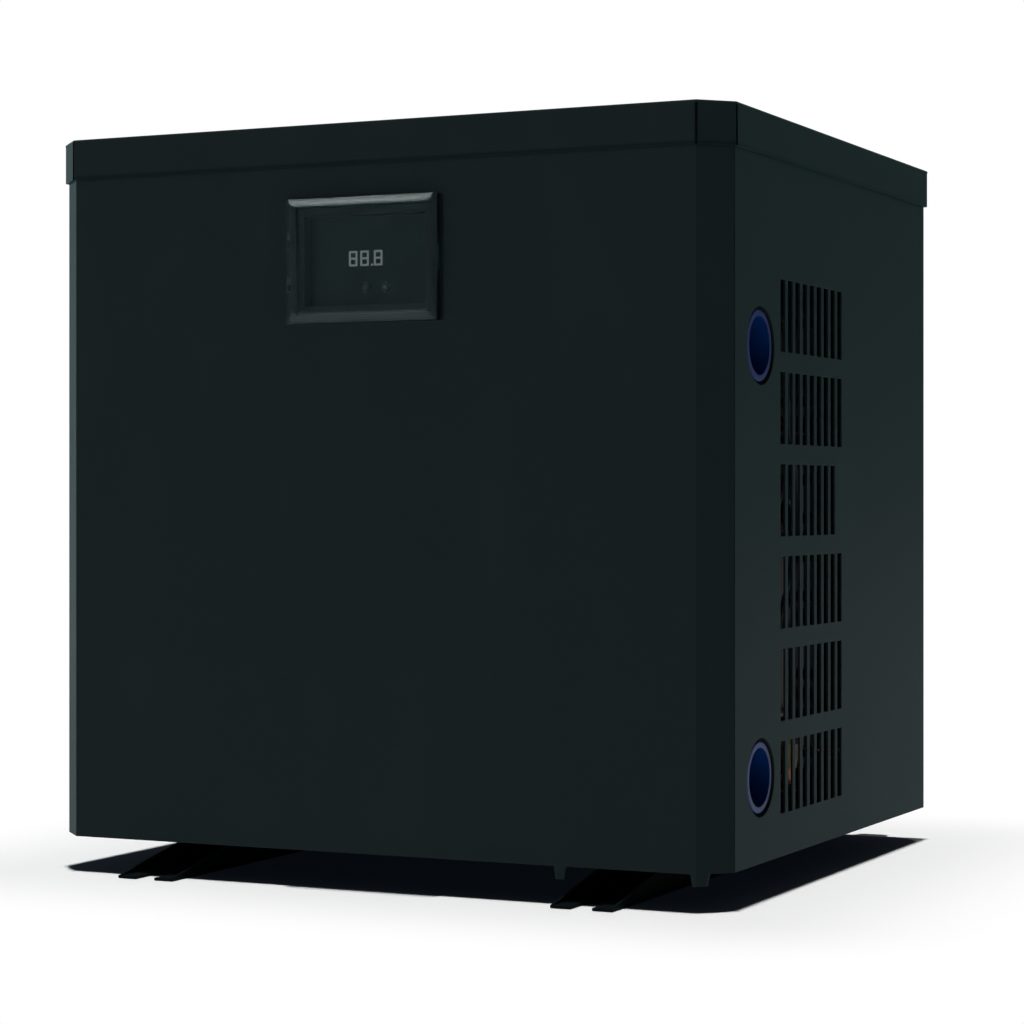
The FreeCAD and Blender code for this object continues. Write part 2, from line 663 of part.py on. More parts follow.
def fan_motor():
    """Fan motor with end bells and four ears on the bracket; the shaft runs in its bore."""
    body = upright(MOTOR_RADIUS, 0, 0, MOTOR_LOW, MOTOR_HIGH)
    body = body.makeFillet(6.0, [e for e in body.Edges if e.Curve.TypeId == "Part::GeomCircle"])
    pieces = [body, upright(11.0, 0, 0, MOTOR_HIGH - 2, MOTOR_HIGH + 6)]
    pieces += [turned([(MOTOR_RADIUS - 2, z), (MOTOR_RADIUS + 1.5, z), (MOTOR_RADIUS + 1.5, z + 3),
                       (MOTOR_RADIUS - 2, z + 3)]) for z in (308.0, 334.0)]
    tools = [upright(SHAFT_RADIUS + RUNNING_FIT, 0, 0, MOTOR_LOW + 14, MOTOR_HIGH + 10)]
    for x, y in motor_ear_places():
        inner = math.copysign(30.0, y)
        outer = y + math.copysign(6.0, y)
        ear = box((x - 6, x + 6), sorted((inner, outer)), (BRACKET_Z, BRACKET_Z + 4))
        pieces.append(ear)
        tools.append(upright(SCREW_HOLE + 0.4, x, y, BRACKET_Z - 1, BRACKET_Z + 6))
    return cut(joined(pieces), tools)


def motor_ear_places():
    """Where the motor's ears meet the two bars of the bracket."""
    return [(x, y) for x in (-18.0, 18.0) for y in (-BRACKET_Y, BRACKET_Y)]


def fan_shaft():
    """Motor shaft with a threaded end above the hub."""
    shaft = upright(SHAFT_RADIUS, 0, 0, MOTOR_LOW + 16, BLADE_Z + 22)
    return shaft.makeChamfer(0.8, [e for e in shaft.Edges if e.Curve.TypeId == "Part::GeomCircle"])


def fan_nut():
    """Flanged nut that clamps the hub on the shaft."""
    low = BLADE_Z + 14
    nut = joined([upright(10.0, 0, 0, low, low + 1.5), hexagon(13.0, 0, 0, low + 1.5, low + 6.5)])
    return nut.cut(upright(SHAFT_RADIUS, 0, 0, low - 5, low + 20))


STUD_X = 169.0


def motor_bracket():
    """Two bent bars under the fan, tied by a cross strap, that hang from the lid."""
    pieces = []
    half = 9.0
    for y in (-BRACKET_Y, BRACKET_Y):
        width = (y - half, y + half)
        pieces.append(box((-BRACKET_REACH, BRACKET_REACH), width, (BRACKET_Z - 2, BRACKET_Z)))
        for side in (-1, 1):
            leg = sorted((side * BRACKET_REACH, side * (BRACKET_REACH - 2)))
            toe = sorted((side * (BRACKET_REACH - 2), side * (BRACKET_REACH + 14)))
            pieces.append(box(leg, width, (BRACKET_Z - 2, LID_UNDERSIDE)))
            pieces.append(box(toe, width, (LID_UNDERSIDE - 2, LID_UNDERSIDE)))
    for x in (-62.0, 62.0):
        pieces.append(box((x - 7, x + 7), (-BRACKET_Y, BRACKET_Y), (BRACKET_Z - 2, BRACKET_Z)))
    tools = [upright(SCREW_HOLE + 0.4, x, y, BRACKET_Z - 5, BRACKET_Z + 5) for x, y in motor_ear_places()]
    tools += [upright(2.7, x, y, LID_UNDERSIDE - 6, LID_UNDERSIDE) for x, y in stud_places()]
    return cut(joined(pieces), tools)


def stud_places():
    """Weld studs under the lid that carry the motor bracket."""
    return [(x, y) for x in (-STUD_X, STUD_X) for y in (-BRACKET_Y, BRACKET_Y)]


def lid_studs():
    """Weld studs under the lid, each with its nut, for the motor bracket."""
    nut_top = LID_UNDERSIDE - 2
    pieces = []
    for x, y in stud_places():
        stud = upright(2.5, x, y, nut_top - 9, LID_UNDERSIDE)
        pieces += [stud, hexagon(8.0, x, y, nut_top - 5, nut_top).cut(stud)]
    return group(pieces)


def inner_screws():
    """Screws of the motor's ears and of the exchanger's lower cap."""
    down = Vector(0, 0, -1)
    screws = [screw(Vector(x, y, BRACKET_Z + 4), down, head=4.2, head_height=2.4, shank=2.4, length=10)
              for x, y in motor_ear_places()]
    screws += [screw(Vector(x, y, PAN_TOP + 4), down) for x, y in cap_lug_places()]
    return group(screws)


# ------------------------------------------------------------------ evaporator


def course_height(course):
    """Height of one straight course of the evaporator's tube."""
    middle = (COIL_LOW + COIL_HIGH) / 2
    return middle + (course - (COURSES - 1) / 2) * TUBE_PITCH


def course_holes(radius, along_x):
    """Cutters for all the courses of one leg."""
    length = 2 * HALF_W
    holes = []
    for course in range(COURSES):
        z = course_height(course)
        if along_x:
            holes.append(rod(radius, Vector(-length / 2, COIL_Y, z), Vector(length / 2, COIL_Y, z)))
        else:
            holes.append(rod(radius, Vector(COIL_X, -length / 2, z), Vector(COIL_X, length / 2, z)))
    return holes


def fin_pack(along_x):
    """Thin upright plates that stand across one leg of the tube."""
    sheet = (-FIN_SHEET / 2, FIN_SHEET / 2)
    depth = (-COIL_DEPTH / 2, COIL_DEPTH / 2)
    height = (COIL_LOW, COIL_HIGH)
    if along_x:
        one = box(sheet, (COIL_Y + depth[0], COIL_Y + depth[1]), height)
        start, end = COIL_X + COIL_BEND + 6, COIL_RIGHT - 4
    else:
        one = box((COIL_X + depth[0], COIL_X + depth[1]), sheet, height)
        start, end = COIL_FRONT + 4, COIL_Y - COIL_BEND - 6
    one = cut(one, course_holes(TUBE_RADIUS, along_x))
    fins = []
    count = int((end - start) / FIN_PITCH) + 1
    for i in range(count):
        fin = one.copy()
        step = start + i * FIN_PITCH
        fin.translate(RIGHT * step if along_x else REAR * step)
        fins.append(fin)
    return group(fins)


def evaporator_tube():
    """One copper tube through both legs, bent round the corner and turned back at each end."""
    half = TUBE_PITCH / 2
    corner_x, corner_y = COIL_X + COIL_BEND, COIL_Y - COIL_BEND
    slant = COIL_BEND * math.sqrt(0.5)
    edges = []

    def line(a, b):
        edges.append(Part.makeLine(Vector(*a), Vector(*b)))

    def arc(a, b, c):
        edges.append(Part.Arc(Vector(*a), Vector(*b), Vector(*c)).toShape())

    for course in range(COURSES):
        z = course_height(course)
        right = COIL_RIGHT + (12 if course in (0, COURSES - 1) else 2)
        ends = [(right, COIL_Y, z), (corner_x, COIL_Y, z), (corner_x - slant, corner_y + slant, z),
                (COIL_X, corner_y, z), (COIL_X, COIL_FRONT - 2, z)]
        if course % 2:
            ends.reverse()
        line(ends[0], ends[1])
        arc(ends[1], ends[2], ends[3])
        line(ends[3], ends[4])
        if course == COURSES - 1:
            continue
        x, y = ends[4][:2]
        way = (0, -1) if course % 2 == 0 else (1, 0)
        arc((x, y, z), (x + way[0] * half, y + way[1] * half, z + half), (x, y, z + TUBE_PITCH))
    start = edges[0].Vertexes[0].Point
    section = Part.Wire(Part.makeCircle(TUBE_RADIUS, start, RIGHT))
    return Part.Wire(edges).makePipeShell([section], True, False)


def coil_end_plates():
    """Folded plates that hold both ends of the coil, standing on the pan."""
    front = joined([box((COIL_X - 13, COIL_X + 13), (COIL_FRONT, COIL_FRONT + 1.5), (PAN_TOP, COIL_HIGH + 6)),
                    box((COIL_X - 13, COIL_X + 13), (COIL_FRONT, COIL_FRONT + 14), (PAN_TOP, PAN_TOP + 1.5))])
    right = joined([box((COIL_RIGHT - 1.5, COIL_RIGHT), (COIL_Y - 13, COIL_Y + 13), (PAN_TOP, COIL_HIGH + 6)),
                    box((COIL_RIGHT - 14, COIL_RIGHT), (COIL_Y - 13, COIL_Y + 13), (PAN_TOP, PAN_TOP + 1.5))])
    return group([cut(front, course_holes(TUBE_RADIUS, False)), cut(right, course_holes(TUBE_RADIUS, True))])


# ------------------------------------------------------------------ water side

SHELL_LOW = 28.0
SHELL_HIGH = EXCHANGER_TOP - 6.0
PORT_WAY = 12.0               # radius of the way from a socket into the shell
COIL_TURNS = 9.5
TITANIUM_CIRCLE = 26.0
TITANIUM_RADIUS = 5.0
TITANIUM_PITCH = 21.0
TITANIUM_LOW = 62.0
RISER_X = EXCHANGER_X - TITANIUM_CIRCLE
SWITCH_X = 166.0
PADDLE_Z = 322.0


def exchanger_shell():
    """Plastic pressure shell of the water heat exchanger."""
    tube = upright(SHELL_RADIUS, EXCHANGER_X, PORT_Y, SHELL_LOW, SHELL_HIGH)
    bore = upright(SHELL_RADIUS - SHELL_WALL, EXCHANGER_X, PORT_Y, SHELL_LOW - 1, SHELL_HIGH + 1)
    ways = [rod(PORT_WAY, Vector(EXCHANGER_X, PORT_Y, z), Vector(HALF_W, PORT_Y, z))
            for z in (PORT_LOW_Z, PORT_HIGH_Z)]
    return cut(tube, [bore] + ways)


def exchanger_lower_cap():
    """Lower cap, screwed to the pan by three lugs."""
    cap = upright(CAP_RADIUS, EXCHANGER_X, PORT_Y, PAN_TOP, PAN_TOP + CAP_LENGTH)
    lugs = [upright(6.0, x, y, PAN_TOP, PAN_TOP + 4) for x, y in cap_lug_places()]
    webs = [centred_box(((x + EXCHANGER_X) / 2, (y + PORT_Y) / 2, PAN_TOP + 2),
                        (12 + abs(x - EXCHANGER_X), 12 + abs(y - PORT_Y), 4)) for x, y in cap_lug_places()]
    webs = [w.common(upright(CAP_LUG_REACH, EXCHANGER_X, PORT_Y, 0, 100)) for w in webs]
    tools = [upright(SHELL_RADIUS, EXCHANGER_X, PORT_Y, SHELL_LOW, 100)]
    tools += [upright(SCREW_HOLE, x, y, 0, 40) for x, y in cap_lug_places()]
    return cut(joined([cap] + webs + lugs), tools)


def exchanger_upper_cap():
    """Upper cap with holes for the refrigerant tubes and the flow switch."""
    cap = upright(CAP_RADIUS, EXCHANGER_X, PORT_Y, EXCHANGER_TOP - CAP_LENGTH, EXCHANGER_TOP)
    rim = [e for e in cap.Edges if abs(e.CenterOfMass.z - EXCHANGER_TOP) < 1e-6]
    cap = cap.makeFillet(2.5, rim)
    tools = [upright(SHELL_RADIUS, EXCHANGER_X, PORT_Y, 0, SHELL_HIGH)]
    tools += [upright(TITANIUM_RADIUS, x, PORT_Y, 0, 400) for x in (RISER_X, EXCHANGER_X)]
    tools.append(upright(7.0, SWITCH_X, PORT_Y, 0, 400))
    return cut(cap, tools)


def titanium_coil():
    """Helical refrigerant tube inside the shell, with a riser at one end and a return up the middle."""
    height = COIL_TURNS * TITANIUM_PITCH
    helix = Part.makeHelix(TITANIUM_PITCH, height, TITANIUM_CIRCLE)
    rise = TITANIUM_PITCH / (2 * math.pi * TITANIUM_CIRCLE)
    section = Part.Wire(Part.makeCircle(TITANIUM_RADIUS, Vector(TITANIUM_CIRCLE, 0, 0), Vector(0, 1, rise)))
    coil = Part.Wire(helix.Edges).makePipeShell([section], True, True)
    coil.translate(Vector(EXCHANGER_X, PORT_Y, TITANIUM_LOW))
    top = EXCHANGER_TOP + 1
    start_x = EXCHANGER_X + TITANIUM_CIRCLE
    riser = upright(TITANIUM_RADIUS, RISER_X, PORT_Y, TITANIUM_LOW + height, top)
    back = pipe([(EXCHANGER_X, PORT_Y, top), (EXCHANGER_X, PORT_Y, TITANIUM_LOW - 14),
                 (start_x, PORT_Y, TITANIUM_LOW - 14), (start_x, PORT_Y, TITANIUM_LOW)],
                TITANIUM_RADIUS, 7.0)
    return joined([coil, riser, back])


def water_socket(z):
    """Socket for a glued 32 mm pipe, seated on the exchanger's shell."""
    mouth = HALF_W - SOCKET_RECESS
    body = rod(SOCKET_OUTER, Vector(EXCHANGER_X + 20, PORT_Y, z), Vector(mouth, PORT_Y, z))
    mouth_edge = [e for e in body.Edges if abs(e.CenterOfMass.x - mouth) < 1e-6]
    body = body.makeFillet(0.8, mouth_edge)
    return cut(body, [
        upright(SHELL_RADIUS, EXCHANGER_X, PORT_Y, 0, 400),
        rod(SOCKET_BORE, Vector(mouth - SOCKET_DEPTH, PORT_Y, z), Vector(mouth + 5, PORT_Y, z)),
        rod(PORT_WAY, Vector(EXCHANGER_X, PORT_Y, z), Vector(HALF_W, PORT_Y, z))])


def flow_switch():
    """Paddle switch on the upper cap: housing above, forked stem inside the shell."""
    head = upright(12.0, SWITCH_X, PORT_Y, EXCHANGER_TOP, EXCHANGER_TOP + 22)
    rim = [e for e in head.Edges if abs(e.CenterOfMass.z - EXCHANGER_TOP - 22) < 1e-6]
    head = head.makeFillet(3.0, rim)
    stem = upright(6.8, SWITCH_X, PORT_Y, PADDLE_Z + 5, EXCHANGER_TOP)
    ears = [centred_box((SWITCH_X, PORT_Y + side * 5.2, PADDLE_Z + 2), (7, 2.4, 10)) for side in (-1, 1)]
    hole = rod(1.26, Vector(SWITCH_X, PORT_Y - 8, PADDLE_Z), Vector(SWITCH_X, PORT_Y + 8, PADDLE_Z))
    return cut(joined([head, stem] + ears), [hole])


def flow_paddle():
    """Paddle of the flow switch, hung in front of the upper socket on its own stub axle."""
    axle = rod(1.2, Vector(SWITCH_X, PORT_Y - 6.2, PADDLE_Z), Vector(SWITCH_X, PORT_Y + 6.2, PADDLE_Z))
    knuckle = rod(2.6, Vector(SWITCH_X, PORT_Y - 3.6, PADDLE_Z), Vector(SWITCH_X, PORT_Y + 3.6, PADDLE_Z))
    arm = centred_box((SWITCH_X, PORT_Y, PADDLE_Z - 8), (1.4, 6, 14))
    leaf = centred_box((SWITCH_X, PORT_Y, PADDLE_Z - 24), (1.0, 16, 22))
    return joined([axle, knuckle, arm, leaf])


# ------------------------------------------------------------------ refrigerant side

SUCTION_RADIUS = 4.8
LIQUID_RADIUS = 3.2
CAPILLARY_RADIUS = 1.3
DRIER_X = 88.0
DRIER_Y = -96.0
DRIER_LOW = 150.0
DRIER_HIGH = 235.0
SERVICE_X = 196.0
SERVICE_Y = -40.0
SERVICE_LOW = 54.0            # height of the process tube
SERVICE_HIGH = 64.0           # where the valve begins
DISCHARGE_X = 152.0
DISCHARGE_Y = -66.0
SUCTION_RISE = 190.0


def compressor():
    """Welded compressor shell on a three-eared foot plate."""
    x, y = COMPRESSOR_X, COMPRESSOR_Y
    body = upright(COMPRESSOR_RADIUS, x, y, COMPRESSOR_LOW, COMPRESSOR_HIGH)
    low = [e for e in body.Edges if abs(e.CenterOfMass.z - COMPRESSOR_LOW) < 1e-6]
    high = [e for e in body.Edges if abs(e.CenterOfMass.z - COMPRESSOR_HIGH) < 1e-6]
    body = body.makeFillet(8.0, low).makeFillet(18.0, high)
    seams = [turned([(COMPRESSOR_RADIUS - 2, z), (COMPRESSOR_RADIUS + 1.2, z + 0.8),
                     (COMPRESSOR_RADIUS + 1.2, z + 3.2), (COMPRESSOR_RADIUS - 2, z + 4)], x, y)
             for z in (76.0, 196.0)]
    plate_low = COMPRESSOR_LOW - 4
    plate = [upright(42.0, x, y, plate_low, COMPRESSOR_LOW + 4)]
    for ear_x, ear_y in mount_places():
        plate.append(upright(12.0, ear_x, ear_y, plate_low, plate_low + 3))
        arm = centred_box((x + MOUNT_CIRCLE / 2, y, plate_low + 1.5), (MOUNT_CIRCLE, 24, 3))
        arm.rotate(Vector(x, y, 0), UP, math.degrees(math.atan2(ear_y - y, ear_x - x)))
        plate.append(arm)
    holes = [upright(4.3, ear_x, ear_y, 0, 60) for ear_x, ear_y in mount_places()]
    return cut(joined([body] + seams + plate), holes)


def compressor_mounts():
    """Rubber feet between the pan and the compressor's ears."""
    top = COMPRESSOR_LOW - 4
    return group([turned([(4.1, PAN_TOP), (12.0, PAN_TOP), (12.0, 26.0), (9.0, 29.0), (9.0, 33.0),
                          (11.5, 36.0), (11.5, top), (4.1, top)], x, y) for x, y in mount_places()])


def compressor_studs():
    """Studs welded on the pan that pass the rubber feet, each with a flanged nut."""
    low = COMPRESSOR_LOW - 1
    pieces = []
    for x, y in mount_places():
        stud = upright(3.8, x, y, PAN_TOP, low + 9)
        nut = joined([upright(9.0, x, y, low, low + 1.5), hexagon(13.0, x, y, low + 1.5, low + 7.5)])
        pieces += [stud, nut.cut(stud)]
    return group(pieces)


def terminal_cover():
    """Plastic cap over the compressor's terminals."""
    x, y = COMPRESSOR_X - 12, COMPRESSOR_Y + 8
    cap = upright(16.0, x, y, COMPRESSOR_HIGH, COMPRESSOR_HIGH + 22)
    rim = [e for e in cap.Edges if abs(e.CenterOfMass.z - COMPRESSOR_HIGH - 22) < 1e-6]
    return cap.makeFillet(4.0, rim)


def accumulator():
    """Suction accumulator beside the compressor."""
    body = upright(ACCUMULATOR_RADIUS, ACCUMULATOR_X, ACCUMULATOR_Y, ACCUMULATOR_LOW, ACCUMULATOR_HIGH)
    return body.makeFillet(12.0, [e for e in body.Edges if e.Curve.TypeId == "Part::GeomCircle"])


def accumulator_strap():
    """Steel band that ties the accumulator to the compressor's shell."""
    x, y = ACCUMULATOR_X, ACCUMULATOR_Y
    low, high = 140.0, 154.0
    band = upright(ACCUMULATOR_RADIUS + 1.2, x, y, low, high)
    gap = math.hypot(COMPRESSOR_X - x, COMPRESSOR_Y - y)
    arm = centred_box((x + gap / 2, y, (low + high) / 2), (gap, 12, high - low))
    arm.rotate(Vector(x, y, 0), UP, math.degrees(math.atan2(COMPRESSOR_Y - y, COMPRESSOR_X - x)))
    return cut(joined([band, arm]), [upright(ACCUMULATOR_RADIUS, x, y, 0, 300),
                                     upright(COMPRESSOR_RADIUS, COMPRESSOR_X, COMPRESSOR_Y, 0, 300)])


def discharge_pipe():
    """Hot gas from the compressor's top to the exchanger's riser."""
    return pipe([(128, 46, COMPRESSOR_HIGH), (128, 46, 292), (DISCHARGE_X, DISCHARGE_Y, 292),
                 (DISCHARGE_X, DISCHARGE_Y, 374), (RISER_X, PORT_Y, 374),
                 (RISER_X, PORT_Y, EXCHANGER_TOP + 1)],
                LIQUID_RADIUS, 12.0)


def liquid_pipe():
    """Liquid from the exchanger's middle tube down to the filter drier."""
    return pipe([(EXCHANGER_X, PORT_Y, EXCHANGER_TOP + 1), (EXCHANGER_X, PORT_Y, 355),
                 (EXCHANGER_X, DRIER_Y, 355),
                 (DRIER_X, DRIER_Y, 355), (DRIER_X, DRIER_Y, DRIER_HIGH)], LIQUID_RADIUS, 8.0)


def filter_drier():
    """Spun copper drier in the liquid line."""
    neck = LIQUID_RADIUS + 0.8
    return turned([(0, DRIER_LOW), (neck, DRIER_LOW), (neck, DRIER_LOW + 8), (9.5, DRIER_LOW + 20),
                   (9.5, DRIER_HIGH - 20), (neck, DRIER_HIGH - 8), (neck, DRIER_HIGH), (0, DRIER_HIGH)],
                  DRIER_X, DRIER_Y)


def capillary():
    """Thin expansion tube from the drier round the compressor to the evaporator's lowest course."""
    low = course_height(0)
    return pipe([(DRIER_X, DRIER_Y, DRIER_LOW), (DRIER_X, DRIER_Y, 58), (34, -50, 58), (34, 130, 58),
                 (182, 130, 58), (182, COIL_Y, low), (COIL_RIGHT + 12, COIL_Y, low)], CAPILLARY_RADIUS, 10.0)


def suction_pipes():
    """Cold gas pipe from the evaporator to the accumulator, and the elbow on to the compressor."""
    high = course_height(COURSES - 1)
    long_pipe = pipe([(COIL_RIGHT + 12, COIL_Y, high), (SUCTION_RISE, COIL_Y, high),
                      (SUCTION_RISE, COIL_Y, 262),
                      (ACCUMULATOR_X, ACCUMULATOR_Y, 262), (ACCUMULATOR_X, ACCUMULATOR_Y, ACCUMULATOR_HIGH)],
                     SUCTION_RADIUS, 12.0)
    way = Vector(ACCUMULATOR_X - COMPRESSOR_X, ACCUMULATOR_Y - COMPRESSOR_Y, 0).normalize()
    entry = Vector(COMPRESSOR_X, COMPRESSOR_Y, 66) + way * COMPRESSOR_RADIUS
    elbow = pipe([(ACCUMULATOR_X, ACCUMULATOR_Y, ACCUMULATOR_LOW),
                  (ACCUMULATOR_X, ACCUMULATOR_Y, 66), tuple(entry)],
                 SUCTION_RADIUS, 12.0)
    return group([long_pipe, elbow])


def service_pipe():
    """Process tube that runs straight out from the compressor and turns up into the service valve."""
    axis = Vector(COMPRESSOR_X, COMPRESSOR_Y, SERVICE_LOW)
    corner = Vector(SERVICE_X, SERVICE_Y, SERVICE_LOW)
    start = axis + (corner - axis).normalize() * COMPRESSOR_RADIUS
    return pipe([tuple(start), tuple(corner), (SERVICE_X, SERVICE_Y, SERVICE_HIGH)],
                LIQUID_RADIUS, 9.0)


def service_valve():
    """Brass charging valve behind the lowest slots."""
    x, y, z = SERVICE_X, SERVICE_Y, SERVICE_HIGH
    return joined([upright(5.0, x, y, z, z + 4), hexagon(12.0, x, y, z + 4, z + 14),
                   upright(4.2, x, y, z + 14, z + 20),
                   turned([(0, z + 20), (5.4, z + 20), (5.4, z + 28), (4.4, z + 29), (0, z + 29)], x, y)])


def pressure_switch():
    """High-pressure cut-out on the discharge pipe."""
    y, z = DISCHARGE_Y, 332.0
    start = DISCHARGE_X + LIQUID_RADIUS
    body = joined([rod(3.0, Vector(DISCHARGE_X, y, z), Vector(start + 6, y, z)),
                   rod(7.0, Vector(start + 6, y, z), Vector(start + 20, y, z)),
                   rod(4.0, Vector(start + 20, y, z), Vector(start + 26, y, z))])
    return cut(body, [upright(LIQUID_RADIUS, DISCHARGE_X, y, z - 20, z + 20)])


# ------------------------------------------------------------------ electrical box

EBOX_X = (-160.0, -25.0)
EBOX_Y = (-171.0, -112.0)
EBOX_Z = (PAN_TOP, 288.0)
LEAD_RADIUS = 2.2
LEAD_HOLE = 3.5
LEAD_ENTRY = 3.0


def electrical_box():
    """Steel box at the front left, open to the front, with posts for the board."""
    outer = box(EBOX_X, EBOX_Y, EBOX_Z)
    inner = box((EBOX_X[0] + SHEET, EBOX_X[1] - SHEET), (EBOX_Y[0] - 1, EBOX_Y[1] - SHEET),
                (EBOX_Z[0] + SHEET, EBOX_Z[1] - SHEET))
    posts = [rod(3.0, Vector(x, -124, z), Vector(x, EBOX_Y[1] - SHEET / 2, z))
             for x, z in board_post_places()]
    tools = [upright(LEAD_HOLE, x, y, EBOX_Z[1] - 5, EBOX_Z[1] + 5) for x, y in ((-70, -136), (-100, -130))]
    tools += [rod(LEAD_HOLE, Vector(EBOX_X[1] - 5, -140, z), Vector(EBOX_X[1] + 5, -140, z))
              for z in (238, 60)]
    return cut(joined([outer.cut(inner)] + posts), tools)


def board_post_places():
    """The control board's four posts."""
    return [(x, z) for x in (-145.0, -45.0) for z in (155.0, 270.0)]


def electrical_cover():
    """Flat cover of the electrical box."""
    return box(EBOX_X, (EBOX_Y[0] - SHEET, EBOX_Y[0]), EBOX_Z)


def control_board():
    """Control board with its relays, transformer and connectors."""
    board = box((-150, -40), (-125.6, -124), (150, 275))
    parts = [box((x, x + 15), (-141, -125.6), (180, 208)) for x in (-140, -118, -96)]
    parts += [box((-76, -48), (-147, -125.6), (172, 200)), box((-142, -70), (-136, -125.6), (248, 258)),
              box((-62, -48), (-134, -125.6), (222, 262)), box((-120, -84), (-129, -125.6), (220, 240))]
    return joined([board] + parts)


def run_capacitor():
    """Motor run capacitor."""
    low = EBOX_Z[0] + SHEET
    can = upright(16.0, -132, -140, low, low + 62)
    terminals = [box((x - 3, x + 3), (-140.5, -139.5), (low + 61, low + 70)) for x in (-138, -126)]
    rims = [edge for edge in can.Edges if edge.Curve.TypeId == "Part::GeomCircle"]
    return joined([can.makeFillet(2.0, rims)] + terminals)


def terminal_block():
    """Mains terminal block with six screws."""
    body = box((-100, -40), (-128, EBOX_Y[1] - SHEET), (78, 104))
    wells = [rod(3.0, Vector(-95 + 10 * i, -130, 91), Vector(-95 + 10 * i, -124, 91)) for i in range(6)]
    return cut(body, wells)


def inner_leads():
    """Leads from the controller, the fan motor and the compressor into the electrical box."""
    into_top = EBOX_Z[1] - LEAD_ENTRY
    into_side = EBOX_X[1] - LEAD_ENTRY
    terminals_x = COMPRESSOR_X - 28.0
    terminals_y = COMPRESSOR_Y + 8.0
    controller = [(-20, CONTROLLER_BACK, 345), (-20, -130, 345), (-70, -130, 330), (-70, -136, into_top)]
    fan = [(-MOTOR_RADIUS - 0.1, 0, 318), (-100, 0, 318), (-100, -130, 318), (-100, -130, into_top)]
    compressor_side = [(terminals_x, terminals_y, 238), (10, terminals_y, 238), (10, -140, 238),
                       (into_side, -140, 238)]
    return group([pipe(controller, LEAD_RADIUS, 9.0), pipe(fan, LEAD_RADIUS, 24.0),
                  pipe(compressor_side, LEAD_RADIUS, 22.0)])


# ------------------------------------------------------------------ controller

FRAME_FRONT = FRONT - FRAME_THICK
COVER_BACK = FRAME_FRONT - COVER_GAP
COVER_FRONT = COVER_BACK - COVER_THICK
CONTROLLER_BACK = FRONT + 27.0
FACE = FRONT + FACE_DEPTH
WINDOW_FACE = FACE - 0.6
HINGE_X = CONTROLLER_X - COVER_WIDTH / 2
HINGE_Y = (FRAME_FRONT + COVER_BACK) / 2


def tile(width, height, low, high):
    """An upright block parallel to the front panel, centred on the controller."""
    return box((CONTROLLER_X - width / 2, CONTROLLER_X + width / 2), (low, high),
               (CONTROLLER_Z - height / 2, CONTROLLER_Z + height / 2))


def rectangle(width, height, y, lift=0.0):
    """A closed outline parallel to the front panel, centred on the controller or a little above it."""
    corners = [(-1, -1), (1, -1), (1, 1), (-1, 1), (-1, -1)]
    return Part.makePolygon([Vector(CONTROLLER_X + a * width / 2, y, CONTROLLER_Z + lift + b * height / 2)
                             for a, b in corners])


def bevelled_tile(width, height, front, edge, back, share):
    """A tile with a straight edge, then a bevel that takes the given share of the cover's bevel."""
    lift = (COVER_BEVEL_LOW - COVER_BEVEL_TOP) / 2 * share
    lower = (COVER_BEVEL_LOW + COVER_BEVEL_TOP) * share
    face = rectangle(width - 2 * COVER_BEVEL_X * share, height - lower, front, lift)
    slope = Part.makeLoft([rectangle(width, height, edge), face], True, True)
    return joined([tile(width, height, edge, back), slope])


def lug_heights(place, of_cover):
    """The cover's lug stands on the frame's lug: the upper and lower half of each hinge."""
    half = HINGE_LENGTH / 2
    return (place + 0.15, place + half) if of_cover else (place - half, place - 0.15)


def hinge_lug(place, of_cover):
    """One half of a hinge: an eye on the hinge line and the bridge that carries it."""
    low, high = lug_heights(place, of_cover)
    y = sorted((HINGE_Y, COVER_BACK - 1.5 if of_cover else FRAME_FRONT + 1.5))
    bridge = box((HINGE_X - HINGE_RADIUS, HINGE_X + 1.6), y, (low, high))
    bridge = bridge.cut(box((HINGE_X - 3, HINGE_X + 3), (HINGE_Y - 0.15, HINGE_Y + 0.15), (low, high)))
    return joined([bridge, upright(HINGE_RADIUS, HINGE_X, HINGE_Y, low, high)])


def lug_relief(place, of_cover):
    """Room that one part leaves for the other part's lug."""
    low, high = lug_heights(place, of_cover)
    return upright(HINGE_RADIUS + 0.45, HINGE_X, HINGE_Y, low - 0.4, high + 0.4)


def controller_frame():
    """Moulded frame on the front panel, with two hinge lugs on its left edge."""
    frame = tile(COVER_WIDTH, COVER_HEIGHT, FRAME_FRONT, FRONT)
    frame = frame.cut(tile(CUTOUT_WIDTH + 4.6, CUTOUT_HEIGHT + 4.6, FRAME_FRONT - 1, FRONT + 1))
    frame = cut(frame, [lug_relief(place, True) for place in HINGE_PLACES])
    frame = joined([frame] + [hinge_lug(place, False) for place in HINGE_PLACES])
    return frame.cut(upright(PIN_RADIUS, HINGE_X, HINGE_Y, 0, TOP))


def key_wells(front, back):
    """Round wells in which the keys slide."""
    return [rod(KEY_RADIUS + 0.3, Vector(x, front, KEY_Z), Vector(x, back, KEY_Z)) for x in KEY_PLACES]


def controller_body():
    """Controller housing through the front panel: a flange, a sunk face and wells for the keys."""
    body = joined([tile(CUTOUT_WIDTH + 4, CUTOUT_HEIGHT + 4, FRONT - 1.8, FRONT),
                   tile(CUTOUT_WIDTH - 1, CUTOUT_HEIGHT - 1, FRONT - 1, CONTROLLER_BACK)])
    recess = tile(WINDOW_WIDTH + 0.6, WINDOW_HEIGHT + 0.6, FRONT - 3, FACE)
    return cut(body, [recess] + key_wells(FACE - 1, FACE + 6))


def controller_window():
    """Dark face plate over the display, with holes for the keys."""
    plate = tile(WINDOW_WIDTH, WINDOW_HEIGHT, WINDOW_FACE, FACE)
    return cut(plate, key_wells(WINDOW_FACE - 1, FACE + 1))


